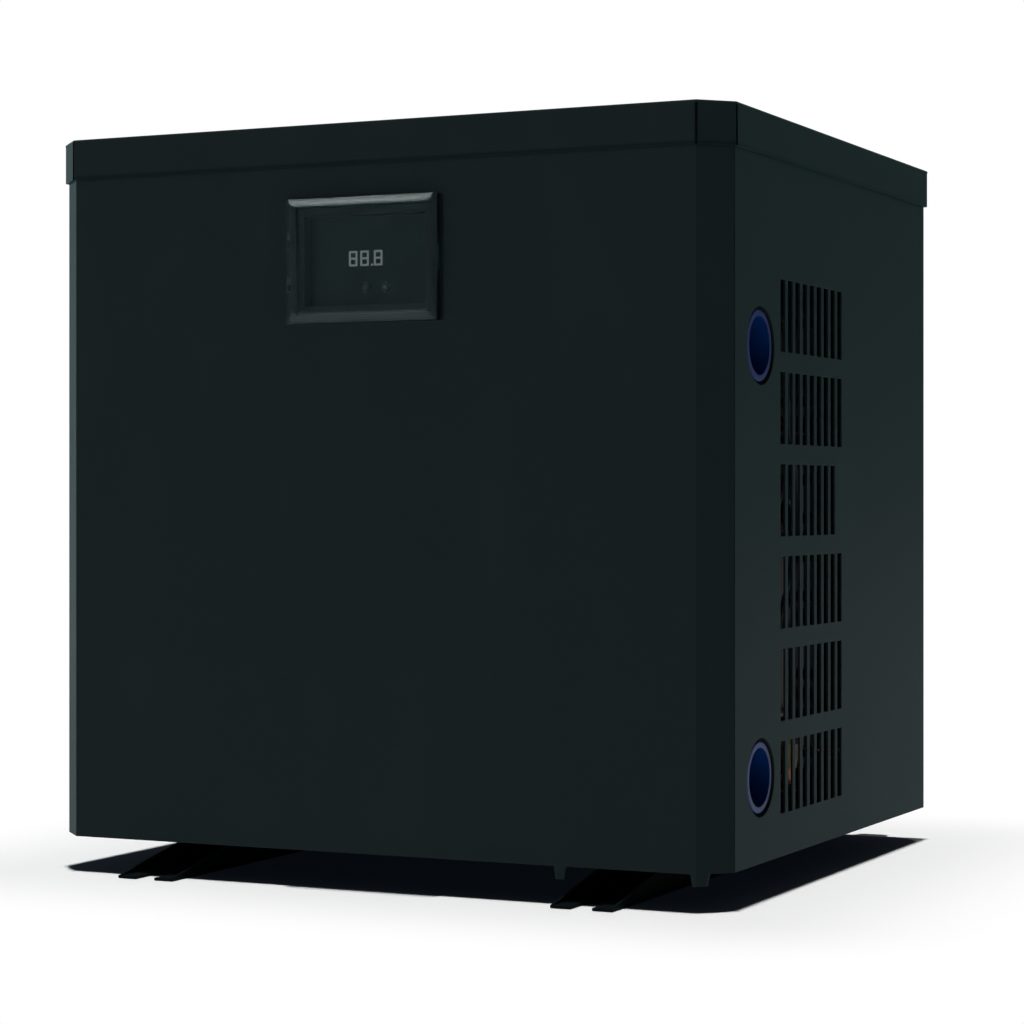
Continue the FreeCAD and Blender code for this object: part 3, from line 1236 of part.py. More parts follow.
def display_digits():
    """Seven-segment figures: three digits and a decimal point."""
    relief = 0.2
    half_w, half_h = DIGIT_WIDTH / 2, DIGIT_HEIGHT / 2
    stroke, gap = DIGIT_STROKE, 0.12
    segments = []

    def segment(x, z, width, height):
        segments.append(centred_box((x, WINDOW_FACE - relief / 2, z), (width, relief, height)))

    middle = CONTROLLER_Z + 1.4
    for x in DIGIT_PLACES:
        bar = DIGIT_WIDTH - 2 * stroke - 2 * gap
        for level in (-1, 0, 1):
            segment(x, middle + level * (half_h - stroke / 2), bar, stroke)
        for side in (-1, 1):
            for level in (-1, 1):
                post = half_h - gap
                segment(x + side * (half_w - stroke / 2), middle + level * half_h / 2, stroke, post)
    segment(POINT_X, middle - half_h + stroke / 2, stroke, stroke)
    return group(segments)


def control_key(x):
    """One press key, standing slightly proud of the face plate."""
    key = rod(KEY_RADIUS, Vector(x, WINDOW_FACE - 0.7, KEY_Z), Vector(x, FACE + 3.5, KEY_Z))
    rim = [e for e in key.Edges if abs(e.CenterOfMass.y - WINDOW_FACE + 0.7) < 1e-6]
    return key.makeFillet(0.4, rim)


def clear_cover():
    """Clear flip cover: a bevelled tray that closes on the frame, with a finger tab on its right edge."""
    edge = COVER_BACK - COVER_EDGE
    outer = bevelled_tile(COVER_WIDTH, COVER_HEIGHT, COVER_FRONT, edge, COVER_BACK, 1.0)
    inner = bevelled_tile(COVER_WIDTH - 2 * COVER_WALL, COVER_HEIGHT - 2 * COVER_WALL,
                          COVER_FRONT + COVER_WALL, edge + COVER_WALL / 2, COVER_BACK + 1, 0.8)
    tray = outer.cut(inner)
    tray = cut(tray, [lug_relief(place, False) for place in HINGE_PLACES])
    right = CONTROLLER_X + COVER_WIDTH / 2
    tab = front_prism([(right - 1, TAB_LOW), (right, TAB_LOW), (right + 2, TAB_LOW + 1.7),
                       (right + 2, TAB_HIGH - 2.2), (right, TAB_HIGH), (right - 1, TAB_HIGH)],
                      COVER_BACK - 1.6, COVER_BACK)
    cover = joined([tray, tab] + [hinge_lug(place, True) for place in HINGE_PLACES])
    return cover.cut(upright(PIN_RADIUS + RUNNING_FIT, HINGE_X, HINGE_Y, 0, TOP))


def hinge_pins():
    """Pins pressed into the frame's lugs; the cover's lugs turn on them."""
    pins = []
    for place in HINGE_PLACES:
        low, high = lug_heights(place, False)[0], lug_heights(place, True)[1]
        pins.append(upright(PIN_RADIUS, HINGE_X, HINGE_Y, low, high))
    return group(pins)


# ------------------------------------------------------------------ every node

nodes["base_pan"] = base_pan()
nodes["front_panel"] = front_panel()
nodes["right_panel"] = right_panel()
nodes["left_panel"] = left_panel()
nodes["rear_panel"] = rear_panel()
nodes["top_lid"] = top_lid()
nodes["casing_screws"] = casing_screws()
nodes["left_foot"] = foot_rail(-FOOT_OFFSET)
nodes["right_foot"] = foot_rail(FOOT_OFFSET)
nodes["foot_bolts"] = foot_bolts()
nodes["drain_spout"] = drain_spout()
nodes["cable_gland"] = cable_gland()

nodes["fan_guard"] = fan_guard()
nodes["guard_screws"] = guard_screws()
nodes["fan_shroud"] = fan_shroud()
nodes["fan_blades"] = fan_blades()
nodes["fan_shaft"] = fan_shaft()
nodes["fan_nut"] = fan_nut()
nodes["fan_motor"] = fan_motor()
nodes["motor_bracket"] = motor_bracket()
nodes["lid_studs"] = lid_studs()
nodes["inner_screws"] = inner_screws()

nodes["evaporator_fins"] = group([fin_pack(False), fin_pack(True)])
nodes["evaporator_tube"] = evaporator_tube()
nodes["coil_end_plates"] = coil_end_plates()

nodes["exchanger_shell"] = exchanger_shell()
nodes["exchanger_caps"] = group([exchanger_lower_cap(), exchanger_upper_cap()])
nodes["titanium_coil"] = titanium_coil()
nodes["lower_socket"] = water_socket(PORT_LOW_Z)
nodes["upper_socket"] = water_socket(PORT_HIGH_Z)
nodes["flow_switch"] = flow_switch()
nodes["flow_paddle"] = flow_paddle()

nodes["compressor"] = compressor()
nodes["compressor_mounts"] = compressor_mounts()
nodes["compressor_studs"] = compressor_studs()
nodes["terminal_cover"] = terminal_cover()
nodes["accumulator"] = accumulator()
nodes["accumulator_strap"] = accumulator_strap()
nodes["discharge_pipe"] = discharge_pipe()
nodes["liquid_pipe"] = liquid_pipe()
nodes["filter_drier"] = filter_drier()
nodes["capillary"] = capillary()
nodes["suction_pipes"] = suction_pipes()
nodes["service_pipe"] = service_pipe()
nodes["service_valve"] = service_valve()
nodes["pressure_switch"] = pressure_switch()

nodes["electrical_box"] = electrical_box()
nodes["electrical_cover"] = electrical_cover()
nodes["control_board"] = control_board()
nodes["run_capacitor"] = run_capacitor()
nodes["terminal_block"] = terminal_block()
nodes["inner_leads"] = inner_leads()

nodes["controller_frame"] = controller_frame()
nodes["controller_body"] = controller_body()
nodes["controller_window"] = controller_window()
nodes["display_digits"] = display_digits()
nodes["left_key"] = control_key(KEY_PLACES[0])
nodes["right_key"] = control_key(KEY_PLACES[1])
nodes["clear_cover"] = clear_cover()
nodes["hinge_pins"] = hinge_pins()

os.makedirs("parts", exist_ok=True)
for name, shape in nodes.items():
    shape.exportStep("parts/" + name + ".step")
    print(name, len(shape.Solids), "solids", round(shape.Volume / 1000, 1), "cm3", shape.isValid())
print(len(nodes), "nodes")
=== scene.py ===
# %% [markdown]
# # A pool heat pump, dressed in Blender
#
# The machine is a sheet-metal cube on two rails. The CAD model already holds its parts at their real
# size, so this file adds what CAD leaves out: every finish from the powder coat to the clear flip cover,
# the glow of the figures, a few pieces that are thin or soft, the floor and the light. Each step says what
# the piece is on the real machine, how it could be made, and why one way was chosen.

import math

import bmesh
import bpy
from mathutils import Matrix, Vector


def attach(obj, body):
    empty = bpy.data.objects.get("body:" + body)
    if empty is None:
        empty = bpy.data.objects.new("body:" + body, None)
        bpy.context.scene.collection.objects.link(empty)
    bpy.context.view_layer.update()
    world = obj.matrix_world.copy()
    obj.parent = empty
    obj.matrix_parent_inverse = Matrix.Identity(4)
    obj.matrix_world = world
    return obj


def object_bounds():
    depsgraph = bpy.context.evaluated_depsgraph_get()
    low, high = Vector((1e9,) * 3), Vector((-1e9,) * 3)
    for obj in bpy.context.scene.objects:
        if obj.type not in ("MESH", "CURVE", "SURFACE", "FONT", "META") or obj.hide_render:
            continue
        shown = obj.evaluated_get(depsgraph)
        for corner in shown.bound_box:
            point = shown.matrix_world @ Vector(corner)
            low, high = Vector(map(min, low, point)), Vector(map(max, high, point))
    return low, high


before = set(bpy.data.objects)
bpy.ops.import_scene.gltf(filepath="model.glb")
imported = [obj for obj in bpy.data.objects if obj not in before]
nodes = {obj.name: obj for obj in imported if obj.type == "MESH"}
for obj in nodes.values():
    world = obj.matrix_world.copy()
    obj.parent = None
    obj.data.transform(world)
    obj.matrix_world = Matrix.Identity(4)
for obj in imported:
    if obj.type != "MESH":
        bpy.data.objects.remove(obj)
cad_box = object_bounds()
MM = 0.001

# %% [markdown]
# ## The camera
#
# A box like this is best seen level, from a little to the right, through a long lens that keeps its
# upright edges upright. The camera could be placed by eye, but a distance and an angle round the machine's
# own axis are easier to read and to change. It stands a little above half the machine's height, so that
# the lid's top stays hidden. The lens is shifted down a trace instead of being tilted, because a tilt
# would make the upright edges lean.

# %% Camera
AROUND = math.radians(25.3)
DISTANCE = 1.6905
ASIDE = 3.2 * MM
EYE_HEIGHT = cad_box[0].z + 0.51 * (cad_box[1].z - cad_box[0].z)
LENS = 96.94
SHIFT = -0.0136


def add_object(name, data):
    """A new object in the scene."""
    added = bpy.data.objects.new(name, data)
    bpy.context.scene.collection.objects.link(added)
    return added


camera = add_object("camera", bpy.data.cameras.new("camera"))
camera.location = (DISTANCE * math.sin(AROUND) + ASIDE, -DISTANCE * math.cos(AROUND), EYE_HEIGHT)
camera.rotation_euler = (math.radians(90), 0, AROUND)
camera.data.lens = LENS
camera.data.sensor_width = 36
camera.data.shift_y = SHIFT
camera.data.clip_start = 0.05
camera.data.clip_end = 60
bpy.context.scene.camera = camera
print("camera", [round(v, 4) for v in camera.location], "lens", LENS)

# %% [markdown]
# ## Writing materials as expressions
#
# A material is a graph of nodes. Wiring it by hand in Python takes three lines for every addition, and
# soon nobody can read it. So one small class wraps a socket and overloads the arithmetic operators: an
# expression such as `0.4 + 0.1 * speckle` then adds its Math nodes by itself. The reflected forms, such
# as `__rsub__`, let a plain number stand first, as in `1 - mask`.

# %% A socket that can be added and multiplied
class Value:
    """One output socket, with Python's arithmetic on it."""

    def __init__(self, graph, socket):
        self.graph = graph
        self.socket = socket

    def __add__(self, other):
        return self.graph.math("ADD", self, other)

    def __radd__(self, other):
        return self.graph.math("ADD", other, self)

    def __sub__(self, other):
        return self.graph.math("SUBTRACT", self, other)

    def __rsub__(self, other):
        return self.graph.math("SUBTRACT", other, self)

    def __mul__(self, other):
        return self.graph.math("MULTIPLY", self, other)

    def __rmul__(self, other):
        return self.graph.math("MULTIPLY", other, self)

    def __pow__(self, other):
        return self.graph.math("POWER", self, other)

    def __rpow__(self, other):
        return self.graph.math("POWER", other, self)

    def step(self, low, high):
        """0 below low and 1 above high, with a smooth rise between."""
        return self.graph.node("MapRange", {"interpolation_type": "SMOOTHSTEP"}, out="Result",
                               Value=self, From_Min=low, From_Max=high)

    def clamp(self):
        """The same, held between 0 and 1."""
        return self.graph.math("ADD", self, 0.0, clamp=True)


print("a socket knows +, -, * and **")

# %% [markdown]
# ## One method for every other node
#
# What is not arithmetic is some other node: noise, a mixer, a mapping. Each kind could get its own few
# lines, but they would all say the same thing: make the node, choose its settings, fill its sockets. One
# method does that for every kind, in that order, since a setting such as a mixer's data type decides which
# of its sockets count. The room's light is a graph too, so this class knows nothing about materials yet.

# %% A graph that adds any node in one call
class Graph:
    """A tree of nodes, with one method that adds any node to it."""

    def __init__(self, tree):
        self.tree = tree

    def node(self, kind, settings=None, out=0, **inputs):
        """Adds a node: its settings first, then its sockets. Gives its output of that name or number."""
        added = self.tree.nodes.new("ShaderNode" + kind)
        for name, item in (settings or {}).items():
            setattr(added, name, item)
        self.fill(added, **inputs)
        return Value(self, added.outputs[out])

    def fill(self, node, **inputs):
        """Links or sets sockets of a node: Base_Color stands for Base Color, and _0 for the first one."""
        for name, item in inputs.items():
            socket = node.inputs[int(name[1:]) if name[0] == "_" else name.replace("_", " ")]
            if isinstance(item, Value):
                self.tree.links.new(item.socket, socket)
            elif isinstance(item, tuple):
                socket.default_value = item + (1.0,) * (len(socket.default_value) - len(item))
            else:
                socket.default_value = item

    def math(self, operation, one, other, clamp=False):
        """Arithmetic on two numbers."""
        return self.node("Math", {"operation": operation, "use_clamp": clamp}, _0=one, _1=other)

    def vector_math(self, operation, *items, out=0):
        """Arithmetic on places and directions."""
        inputs = {f"_{number}": item for number, item in enumerate(items)}
        return self.node("VectorMath", {"operation": operation}, out=out, **inputs)

    def mix(self, amount, one, other):
        """A blend of two colours: all of one at 0, and all of the other at 1."""
        return self.node("Mix", {"data_type": "RGBA"}, out=2, _0=amount, _6=one, _7=other)

    def light_paths(self, *kinds):
        """1 for the kinds of ray named, 0 for every other."""
        return sum(self.node("LightPath", out=kind) for kind in kinds).clamp()


print("a graph adds any node in one call")

# %% [markdown]
# ## A finish
#
# A finish is one material. The Principled shader is a good start for nearly every real surface, so each
# finish begins with one and fills in what it needs. Noise is laid in the machine's own coordinates, in
# metres: a grain of half a millimetre then stays half a millimetre on a lid and on a screw. Depth that is
# too fine to model goes into a bump, laid over a Bevel node, which rounds the light on sharp edges.

# %% A material that starts as one shader
class Finish(Graph):
    """A new material whose surface starts as one Principled shader."""

    def __init__(self, name, **sockets):
        self.material = bpy.data.materials.new(name)
        self.material.use_nodes = True
        super().__init__(self.material.node_tree)
        self.shader = self.tree.nodes["Principled BSDF"]
        self.set(**sockets)

    def set(self, **sockets):
        """Sets sockets of the Principled shader."""
        self.fill(self.shader, **sockets)

    def mixed(self, amount, one, other):
        """Puts a blend of two shaders on the material's output."""
        surface = self.node("MixShader", _0=amount, _1=one, _2=other)
        self.fill(self.tree.nodes["Material Output"], Surface=surface)

    def plain(self):
        """The Principled shader itself, for a blend."""
        return Value(self, self.shader.outputs[0])

    def place(self):
        """The machine's own coordinates, in metres."""
        return self.node("TexCoord", out="Object")

    def noise(self, size, detail=2.0, stretch=(1.0, 1.0, 1.0)):
        """Cloudy noise whose blobs are about size metres across; a small stretch draws them out."""
        where = self.node("Mapping", Vector=self.place(), Scale=stretch)
        return self.node("TexNoise", Vector=where, Scale=1.0 / size, Detail=detail)

    def rounded(self, radius):
        """A normal that rounds sharp edges to a radius."""
        return self.node("Bevel", {"samples": 4}, Radius=radius)

    def bump(self, height, depth, over):
        """A bump of the given depth in metres, laid over another normal."""
        return self.node("Bump", Height=height, Distance=depth, Strength=1.0, Normal=over)


print("a finish starts as one Principled shader")

# %% [markdown]
# ## Powder coat
# The casing is steel with a baked powder coat: near black with a breath of blue-green, satin, and with
# the faint orange peel that powder leaves when it melts. Painted edges catch light because the coat
# rounds them. The peel could be modelled, but it is a few hundredths of a millimetre deep, so a bump is
# the right tool, and the Bevel node rounds the folds' highlights without a single extra face. Large, very
# weak noise in the roughness keeps broad faces from looking like plastic film. A band of painted shade
# sits just under the lid's edge, on the panels and the lid's lower rim. The rails, the fan guard, the parts
# inside and the coil's coated fins get the same coat in their own darker colours; the parts inside are
# darker still, as dark paint with the shade inside the cabinet painted in.

# %% Powder coat
def box_of(node):
    """Lowest and highest corner of a CAD node."""
    corners = [nodes[node].matrix_world @ Vector(corner) for corner in nodes[node].bound_box]
    return [Vector(map(pick, zip(*corners))) for pick in (min, max)]


LID_LOW, LID_HIGH = box_of("top_lid")
CASING_COLOUR = (0.0104, 0.0141, 0.0158)
PAINTED_SHADE = (0.001, 0.0014, 0.0016)


def painted_shade_band(coat, edge, skin):
    """The skin's colour, with painted shade in a band from just below an edge to just above it."""
    height = coat.node("SeparateXYZ", out="Z", _0=coat.place())
    band = height.step(edge - 2.0 * MM, edge) * (1 - height.step(edge + 1.0 * MM, edge + 2.6 * MM))
    return coat.mix(band * 0.45, skin, PAINTED_SHADE)


def powder_coat(name, colour, roughness, peel=0.020 * MM, sheen=0.055, edge=None):
    coat = Finish(name, Metallic=0.0, Specular_IOR_Level=0.013, Sheen_Weight=sheen, Sheen_Roughness=0.6,
                  Sheen_Tint=(0.25, 0.95, 1.0))
    cloud = coat.noise(0.11, detail=4.0)
    grain = coat.noise(0.9 * MM, detail=3.0)
    fine = coat.noise(0.32 * MM, detail=1.0)
    dust = coat.noise(0.045, detail=5.0, stretch=(1.0, 1.0, 0.35)).step(0.50, 0.80)
    lighter = tuple(1.35 * c + 0.0008 for c in colour)
    skin = coat.mix(dust * 0.30, colour, lighter)
    skin = coat.mix(fine.step(0.62, 0.78) * 0.30, skin, lighter)
    # A band of painted shade under the lid's edge, where the edge's height is given.
    if edge is not None:
        skin = painted_shade_band(coat, edge, skin)
    peeled = coat.bump(grain, peel, over=coat.rounded(0.5 * MM))
    coat.set(Base_Color=skin, Roughness=(roughness - 0.03) + 0.05 * cloud + 0.04 * grain,
             Normal=coat.bump(fine, peel * 0.35, over=peeled))
    return coat.material


casing_coat = powder_coat("powder_coat", CASING_COLOUR, 0.42, edge=LID_LOW.z)
rail_coat = powder_coat("rail_coat", (0.0030, 0.0042, 0.0048), 0.50, sheen=0.010)
# A darker copy of the coat for the parts inside: dark paint, with the shade inside the cabinet painted in.
inside_coat_and_shade = powder_coat("inside_coat_and_shade", (0.0045, 0.0080, 0.0090), 0.60)
fin_coat = powder_coat("fin_coat", (0.0075, 0.0090, 0.0100), 0.38, peel=0.004 * MM)
# The band whose height this prints is painted shade under the lid's edge.
print("4 coats; painted shade sits round the lid's edge at", round(LID_LOW.z / MM, 1), "mm")

# %% [markdown]
# ## Metals
#
# Behind the slots and the fan guard sit copper pipes, dull brass fittings, zinc-plated studs and screws, a
# stainless fan shaft, an aluminium capacitor can and the exchanger's titanium coil. Most of it is hidden,
# yet it shows as glints. The screws that show on the outside are blackened. One even grey at full Metallic
# would look cast from a single piece, so a metal gets three things: its clean colour, streaks along the
# way it was drawn or rolled, and patches of tarnish that are rougher than the rest.

# %% Metals
def metal(name, colour, roughness, tarnish, streak=(1.0, 1.0, 0.05), size=1.2 * MM):
    bare = Finish(name, Metallic=1.0)
    lines = bare.noise(size, detail=3.0, stretch=streak)
    patches = bare.noise(14 * MM, detail=4.0).step(0.42, 0.68)
    bare.set(Base_Color=bare.mix(patches * 0.6, colour, tarnish),
             Roughness=roughness + 0.12 * patches + 0.10 * lines,
             Normal=bare.bump(lines, 0.006 * MM, over=bare.rounded(0.25 * MM)))
    return bare.material


zinc = metal("zinc_plate", (0.55, 0.56, 0.57), 0.32, (0.40, 0.40, 0.38))
black_zinc = metal("black_zinc", (0.06, 0.065, 0.07), 0.35, (0.10, 0.10, 0.10), size=0.4 * MM)
stainless = metal("stainless_steel", (0.56, 0.55, 0.53), 0.22, (0.48, 0.47, 0.45))
copper = metal("copper_tube", (0.36, 0.16, 0.09), 0.38, (0.15, 0.07, 0.045), streak=(0.3, 0.3, 0.3))
brass = metal("brass_fitting", (0.19, 0.15, 0.085), 0.45, (0.11, 0.085, 0.05), streak=(0.4, 0.4, 1.0))
aluminium = metal("aluminium_can", (0.74, 0.75, 0.77), 0.35, (0.60, 0.61, 0.62))
titanium = metal("titanium_tube", (0.42, 0.41, 0.40), 0.30, (0.35, 0.33, 0.31))
print("7 metals")

# %% [markdown]
# ## Plastics, rubber and enamel
#
# Moulded plastic has no drawn lines. It has an even, fine spark-eroded texture and a weak change of gloss
# where it cooled last. Rubber is the same thing with less gloss, and the compressor's enamel the same
# thing with more, so one function makes them all. The sockets' strong blue is easiest to choose as a
# screen colour, from 0 to 255, and is turned into the linear light that shaders reckon in.

# %% Plastics
def screen_colour(red, green, blue):
    """A screen colour, 0 to 255 in each part, in linear light."""
    return tuple((c / 255 / 12.92) if c < 10.3 else ((c / 255 + 0.055) / 1.055) ** 2.4
                 for c in (red, green, blue))


def moulded(name, colour, roughness, texture=0.012 * MM, size=0.5 * MM, **sockets):
    plastic = Finish(name, Metallic=0.0, **sockets)
    grain = plastic.noise(size, detail=2.0)
    flow = plastic.noise(30 * MM, detail=3.0)
    darker = tuple(0.80 * c for c in colour)
    plastic.set(Base_Color=plastic.mix(flow.step(0.35, 0.65), colour, darker),
                Roughness=roughness + 0.08 * flow + 0.05 * grain,
                Normal=plastic.bump(grain, texture, over=plastic.rounded(0.3 * MM)))
    return plastic.material


socket_blue = moulded("blue_socket", screen_colour(4, 44, 102), 0.34, texture=0.006 * MM,
                      Specular_IOR_Level=0.10)
black_plastic = moulded("black_plastic", (0.012, 0.013, 0.014), 0.48)
fan_plastic = moulded("fan_plastic", (0.018, 0.019, 0.021), 0.42, texture=0.02 * MM, size=0.9 * MM)
grey_plastic = moulded("grey_plastic", (0.14, 0.145, 0.15), 0.45)
shell_plastic = moulded("shell_plastic", (0.020, 0.022, 0.025), 0.50)
foam = moulded("foam", (0.005, 0.005, 0.005), 0.85, texture=0.04 * MM, Specular_IOR_Level=0.05)
lead_sleeve = moulded("lead_sleeve", (0.012, 0.013, 0.014), 0.40, Specular_IOR_Level=0.15)
rubber = moulded("rubber", (0.012, 0.012, 0.012), 0.70, texture=0.02 * MM)
enamel = moulded("black_enamel", (0.008, 0.008, 0.009), 0.22, size=1.6 * MM)
motor_grey = moulded("motor_enamel", (0.045, 0.046, 0.050), 0.34, size=1.2 * MM)
board_green = moulded("circuit_board", (0.015, 0.085, 0.035), 0.35)
print("the sockets' blue is", [round(c, 4) for c in screen_colour(4, 44, 102)], "in linear light")

# %% [markdown]
# ## The controller's plastics
#
# The controller is moulded in a black that is close to the casing's, so that it belongs to the machine.
# Its frame is satin, its window is smoked and nearly smooth, and its keys are dull rubber with a printed
# sign. They could share one black, but it is the change of gloss alone that tells one from the next, so
# each has its own finish.

# %% Controller plastics
controller_plastic = moulded("controller_plastic", (0.0085, 0.0125, 0.0138), 0.38, texture=0.008 * MM,
                             Specular_IOR_Level=0.10)
window_plastic = moulded("smoked_window", (0.0090, 0.0130, 0.0140), 0.16, texture=0.001 * MM,
                         Specular_IOR_Level=0.10)
key_rubber = moulded("key_rubber", (0.0095, 0.0140, 0.0155), 0.55, texture=0.01 * MM,
                     Specular_IOR_Level=0.15)
sign_white = moulded("printed_sign", (0.045, 0.052, 0.052), 0.45, texture=0.002 * MM)
print("4 controller finishes")

# %% [markdown]
# ## The clear flip cover
#
# The cover is clear acrylic. Real glass shaders bend light through both faces and are slow and noisy on
# such a thin part. A thin clear sheet hardly bends light at all: it lets most of it straight through,
# tints it a little and mirrors a little more of it at a slant. So a Transparent and a Glossy shader are
# mixed. A Fresnel node would turn the inner face of a bevel into a full mirror, because it expects the
# light to bend on its way in. Layer Weight's Facing is the same on both faces, and its fifth power follows
# the mirror curve of a clear plastic. A trace of a pale, soft shader stands for fine scratches and for the
# veil that weather leaves on acrylic, which evens out the shadows behind it.

# %% Clear acrylic
def clear_acrylic(name):
    clear = Finish(name, Base_Color=(0.13, 0.235, 0.25), Roughness=0.35, Specular_IOR_Level=0.0)
    scratches = clear.noise(0.25 * MM, detail=2.0, stretch=(1.0, 1.0, 0.08)).step(0.60, 0.80)
    grease = clear.noise(18 * MM, detail=3.0).step(0.45, 0.75)
    through = clear.node("BsdfTransparent", Color=(0.95, 0.97, 0.97))
    mirror = clear.node("BsdfAnisotropic", Color=(0.90, 1.0, 0.98), Roughness=0.05 + 0.05 * grease)
    slant = clear.node("LayerWeight", out="Facing", Blend=0.5)
    glassy = clear.node("MixShader", _0=0.012 + 0.14 * slant ** 5, _1=through, _2=mirror)
    clear.mixed(0.029 + 0.012 * scratches, glassy, clear.plain())
    return clear.material


acrylic = clear_acrylic("clear_acrylic")
print("the acrylic has", len(acrylic.node_tree.nodes), "nodes")

# %% [markdown]
# ## The figures
#
# The figures are the segments of a small light-emitting display. Switched on behind a smoked window they
# look pale grey and do not light anything around them, so a weak emission of constant strength is enough.
# The colour is a little uneven, as each segment spreads the light of one chip.

# %% Lit segments
GLOW = 0.54


def lit_segment(name, colour):
    glow = Finish(name, Base_Color=(0.02, 0.02, 0.02), Roughness=0.4, Emission_Strength=GLOW)
    cloud = glow.noise(1.6 * MM, detail=1.0)
    glow.set(Emission_Color=glow.mix(cloud, tuple(0.85 * c for c in colour), colour))
    return glow.material


segments = lit_segment("lit_segment", screen_colour(132, 142, 142))
print("the segments glow at a strength of", GLOW)

# %% [markdown]
# ## Dressing the CAD pieces
#
# Most CAD pieces already have their true shape, so they stay and only change their finish. A list of
# pieces for each finish is easier to check than a long chain of assignments.

# %% Give every node its finish
finishes = {
    casing_coat: ["front_panel", "right_panel", "left_panel", "rear_panel", "top_lid"],
    rail_coat: ["left_foot", "right_foot", "fan_guard"],
    inside_coat_and_shade: ["base_pan", "motor_bracket", "coil_end_plates", "electrical_box", "electrical_cover"],
    fin_coat: ["evaporator_fins"],
    black_zinc: ["casing_screws", "guard_screws", "hinge_pins", "accumulator_strap"],
    zinc: ["foot_bolts", "lid_studs", "inner_screws", "compressor_studs"],
    stainless: ["fan_shaft", "fan_nut"],
    copper: ["evaporator_tube", "discharge_pipe", "liquid_pipe", "filter_drier", "capillary", "suction_pipes",
             "service_pipe"],
    brass: ["service_valve", "pressure_switch"],
    aluminium: ["run_capacitor"],
    titanium: ["titanium_coil"],
    socket_blue: ["lower_socket", "upper_socket"],
    black_plastic: ["drain_spout", "cable_gland", "fan_shroud", "terminal_cover"],
    fan_plastic: ["fan_blades"],
    grey_plastic: ["flow_switch", "flow_paddle", "terminal_block"],
    shell_plastic: ["exchanger_shell", "exchanger_caps"],
    rubber: ["compressor_mounts", "inner_leads"],
    enamel: ["compressor", "accumulator"],
    motor_grey: ["fan_motor"],
    board_green: ["control_board"],
    controller_plastic: ["controller_frame", "controller_body"],
    window_plastic: ["controller_window"],
    segments: ["display_digits"],
    key_rubber: ["left_key", "right_key"],
    acrylic: ["clear_cover"],
}
dressed = set()
for finish, names in finishes.items():
    for name in names:
        mesh = nodes[name].data
        mesh.materials.clear()
        mesh.materials.append(finish)
        dressed.add(name)
print("undressed:", sorted(set(nodes) - dressed))

# %% [markdown]
# ## Adding pieces
#
# A few pieces are too thin or too soft for the CAD model and are made here. Whatever its shape, a new
# piece needs the same three things: its finish, a place in the scene and the body that it moves with. One
# helper sees to all three, so that none is forgotten.

# %% Add a piece or close a mesh
def add_piece(name, data, finish, body):
    """A new piece in its finish, which moves with a body."""
    data.materials.append(finish)
    piece = add_object(name, data)
    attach(piece, body)
    return piece


def mesh_of(work, name, smooth=False):
    """Turns a bmesh into a mesh whose faces look outwards."""
    bmesh.ops.recalc_face_normals(work, faces=work.faces)
    for face in work.faces:
        face.smooth = smooth
    mesh = bpy.data.meshes.new(name)
    work.to_mesh(mesh)
    work.free()
    return mesh


# %% [markdown]
# ## Signs on the keys
#
# Each rubber key carries a small printed sign: a ring with a stroke, which switches the machine, and a
# triangle, which raises the set temperature. Print is a few hundredths of a millimetre thick, so each sign
# is a thin flat mesh laid on the key. It is drawn from its outline, as a pad printer's plate is, and moves
# with its own key. The ring is open at the top, where the stroke stands.

# %% Print the signs
PRINT = 0.03 * MM
RING = (0.85, 1.20)
RING_ENDS = (120, 420)
STROKE = [(-0.18, 0.25), (0.18, 0.25), (0.18, 1.45), (-0.18, 1.45)]
TRIANGLE = [(-1.25, -0.75), (1.25, -0.75), (0.0, 1.20)]


def arc_band(inner, outer, start, end, steps=28):
    """Outlines of the four-sided parts of a ring, from one angle to another, in degrees."""
    turns = [math.radians(start + (end - start) * i / steps) for i in range(steps + 1)]
    rim = [[(r * math.cos(t), r * math.sin(t)) for r in (inner, outer)] for t in turns]
    return [[a[0], a[1], b[1], b[0]] for a, b in zip(rim, rim[1:])]


def printed_sign(name, outlines, key, body):
    """A sign on the front of a key, from outlines of (across, up) points in millimetres from its middle."""
    low, high = box_of(key)
    middle = (low + high) / 2
    work = bmesh.new()
    for outline in outlines:
        work.faces.new([work.verts.new((middle.x + x * MM, low.y, middle.z + z * MM)) for x, z in outline])
    bmesh.ops.remove_doubles(work, verts=work.verts, dist=0.001 * MM)
    lifted = bmesh.ops.extrude_face_region(work, geom=list(work.faces))
    moved = [item for item in lifted["geom"] if isinstance(item, bmesh.types.BMVert)]
    bmesh.ops.translate(work, verts=moved, vec=(0.0, -PRINT, 0.0))
    return add_piece(name, mesh_of(work, name), sign_white, body)


printed_sign("power_sign", arc_band(*RING, *RING_ENDS) + [STROKE], "left_key", "left_key_cap")
printed_sign("raise_sign", [TRIANGLE], "right_key", "right_key_cap")
print("2 printed signs")

# %% [markdown]
# ## Thin leads behind the slots
#
# The flow switch and the high-pressure switch each send a thin lead to the electrical box. They hang in a
# loose bow just behind the right-hand slots, where a bit of them catches the light, and then run low along
# the pan into the box. A lead is a tube swept along a curve, so a poly-line through its bends, smoothed as
# a spline, is both the simplest and the truest way.

# %% Run the leads
def lead(name, points, radius):
    """A lead of a given radius through points in millimetres."""
    curve = bpy.data.curves.new(name, "CURVE")
    curve.dimensions = "3D"
    curve.resolution_u = 10
    curve.bevel_depth = radius
    curve.bevel_resolution = 3
    curve.use_fill_caps = True
    line = curve.splines.new("NURBS")
    line.points.add(len(points) - 1)
    for point, (x, y, z) in zip(line.points, points):
        point.co = (x * MM, y * MM, z * MM, 1.0)
    line.order_u = 4
    line.use_endpoint_u = True
    return add_piece(name, curve, lead_sleeve, "casing")


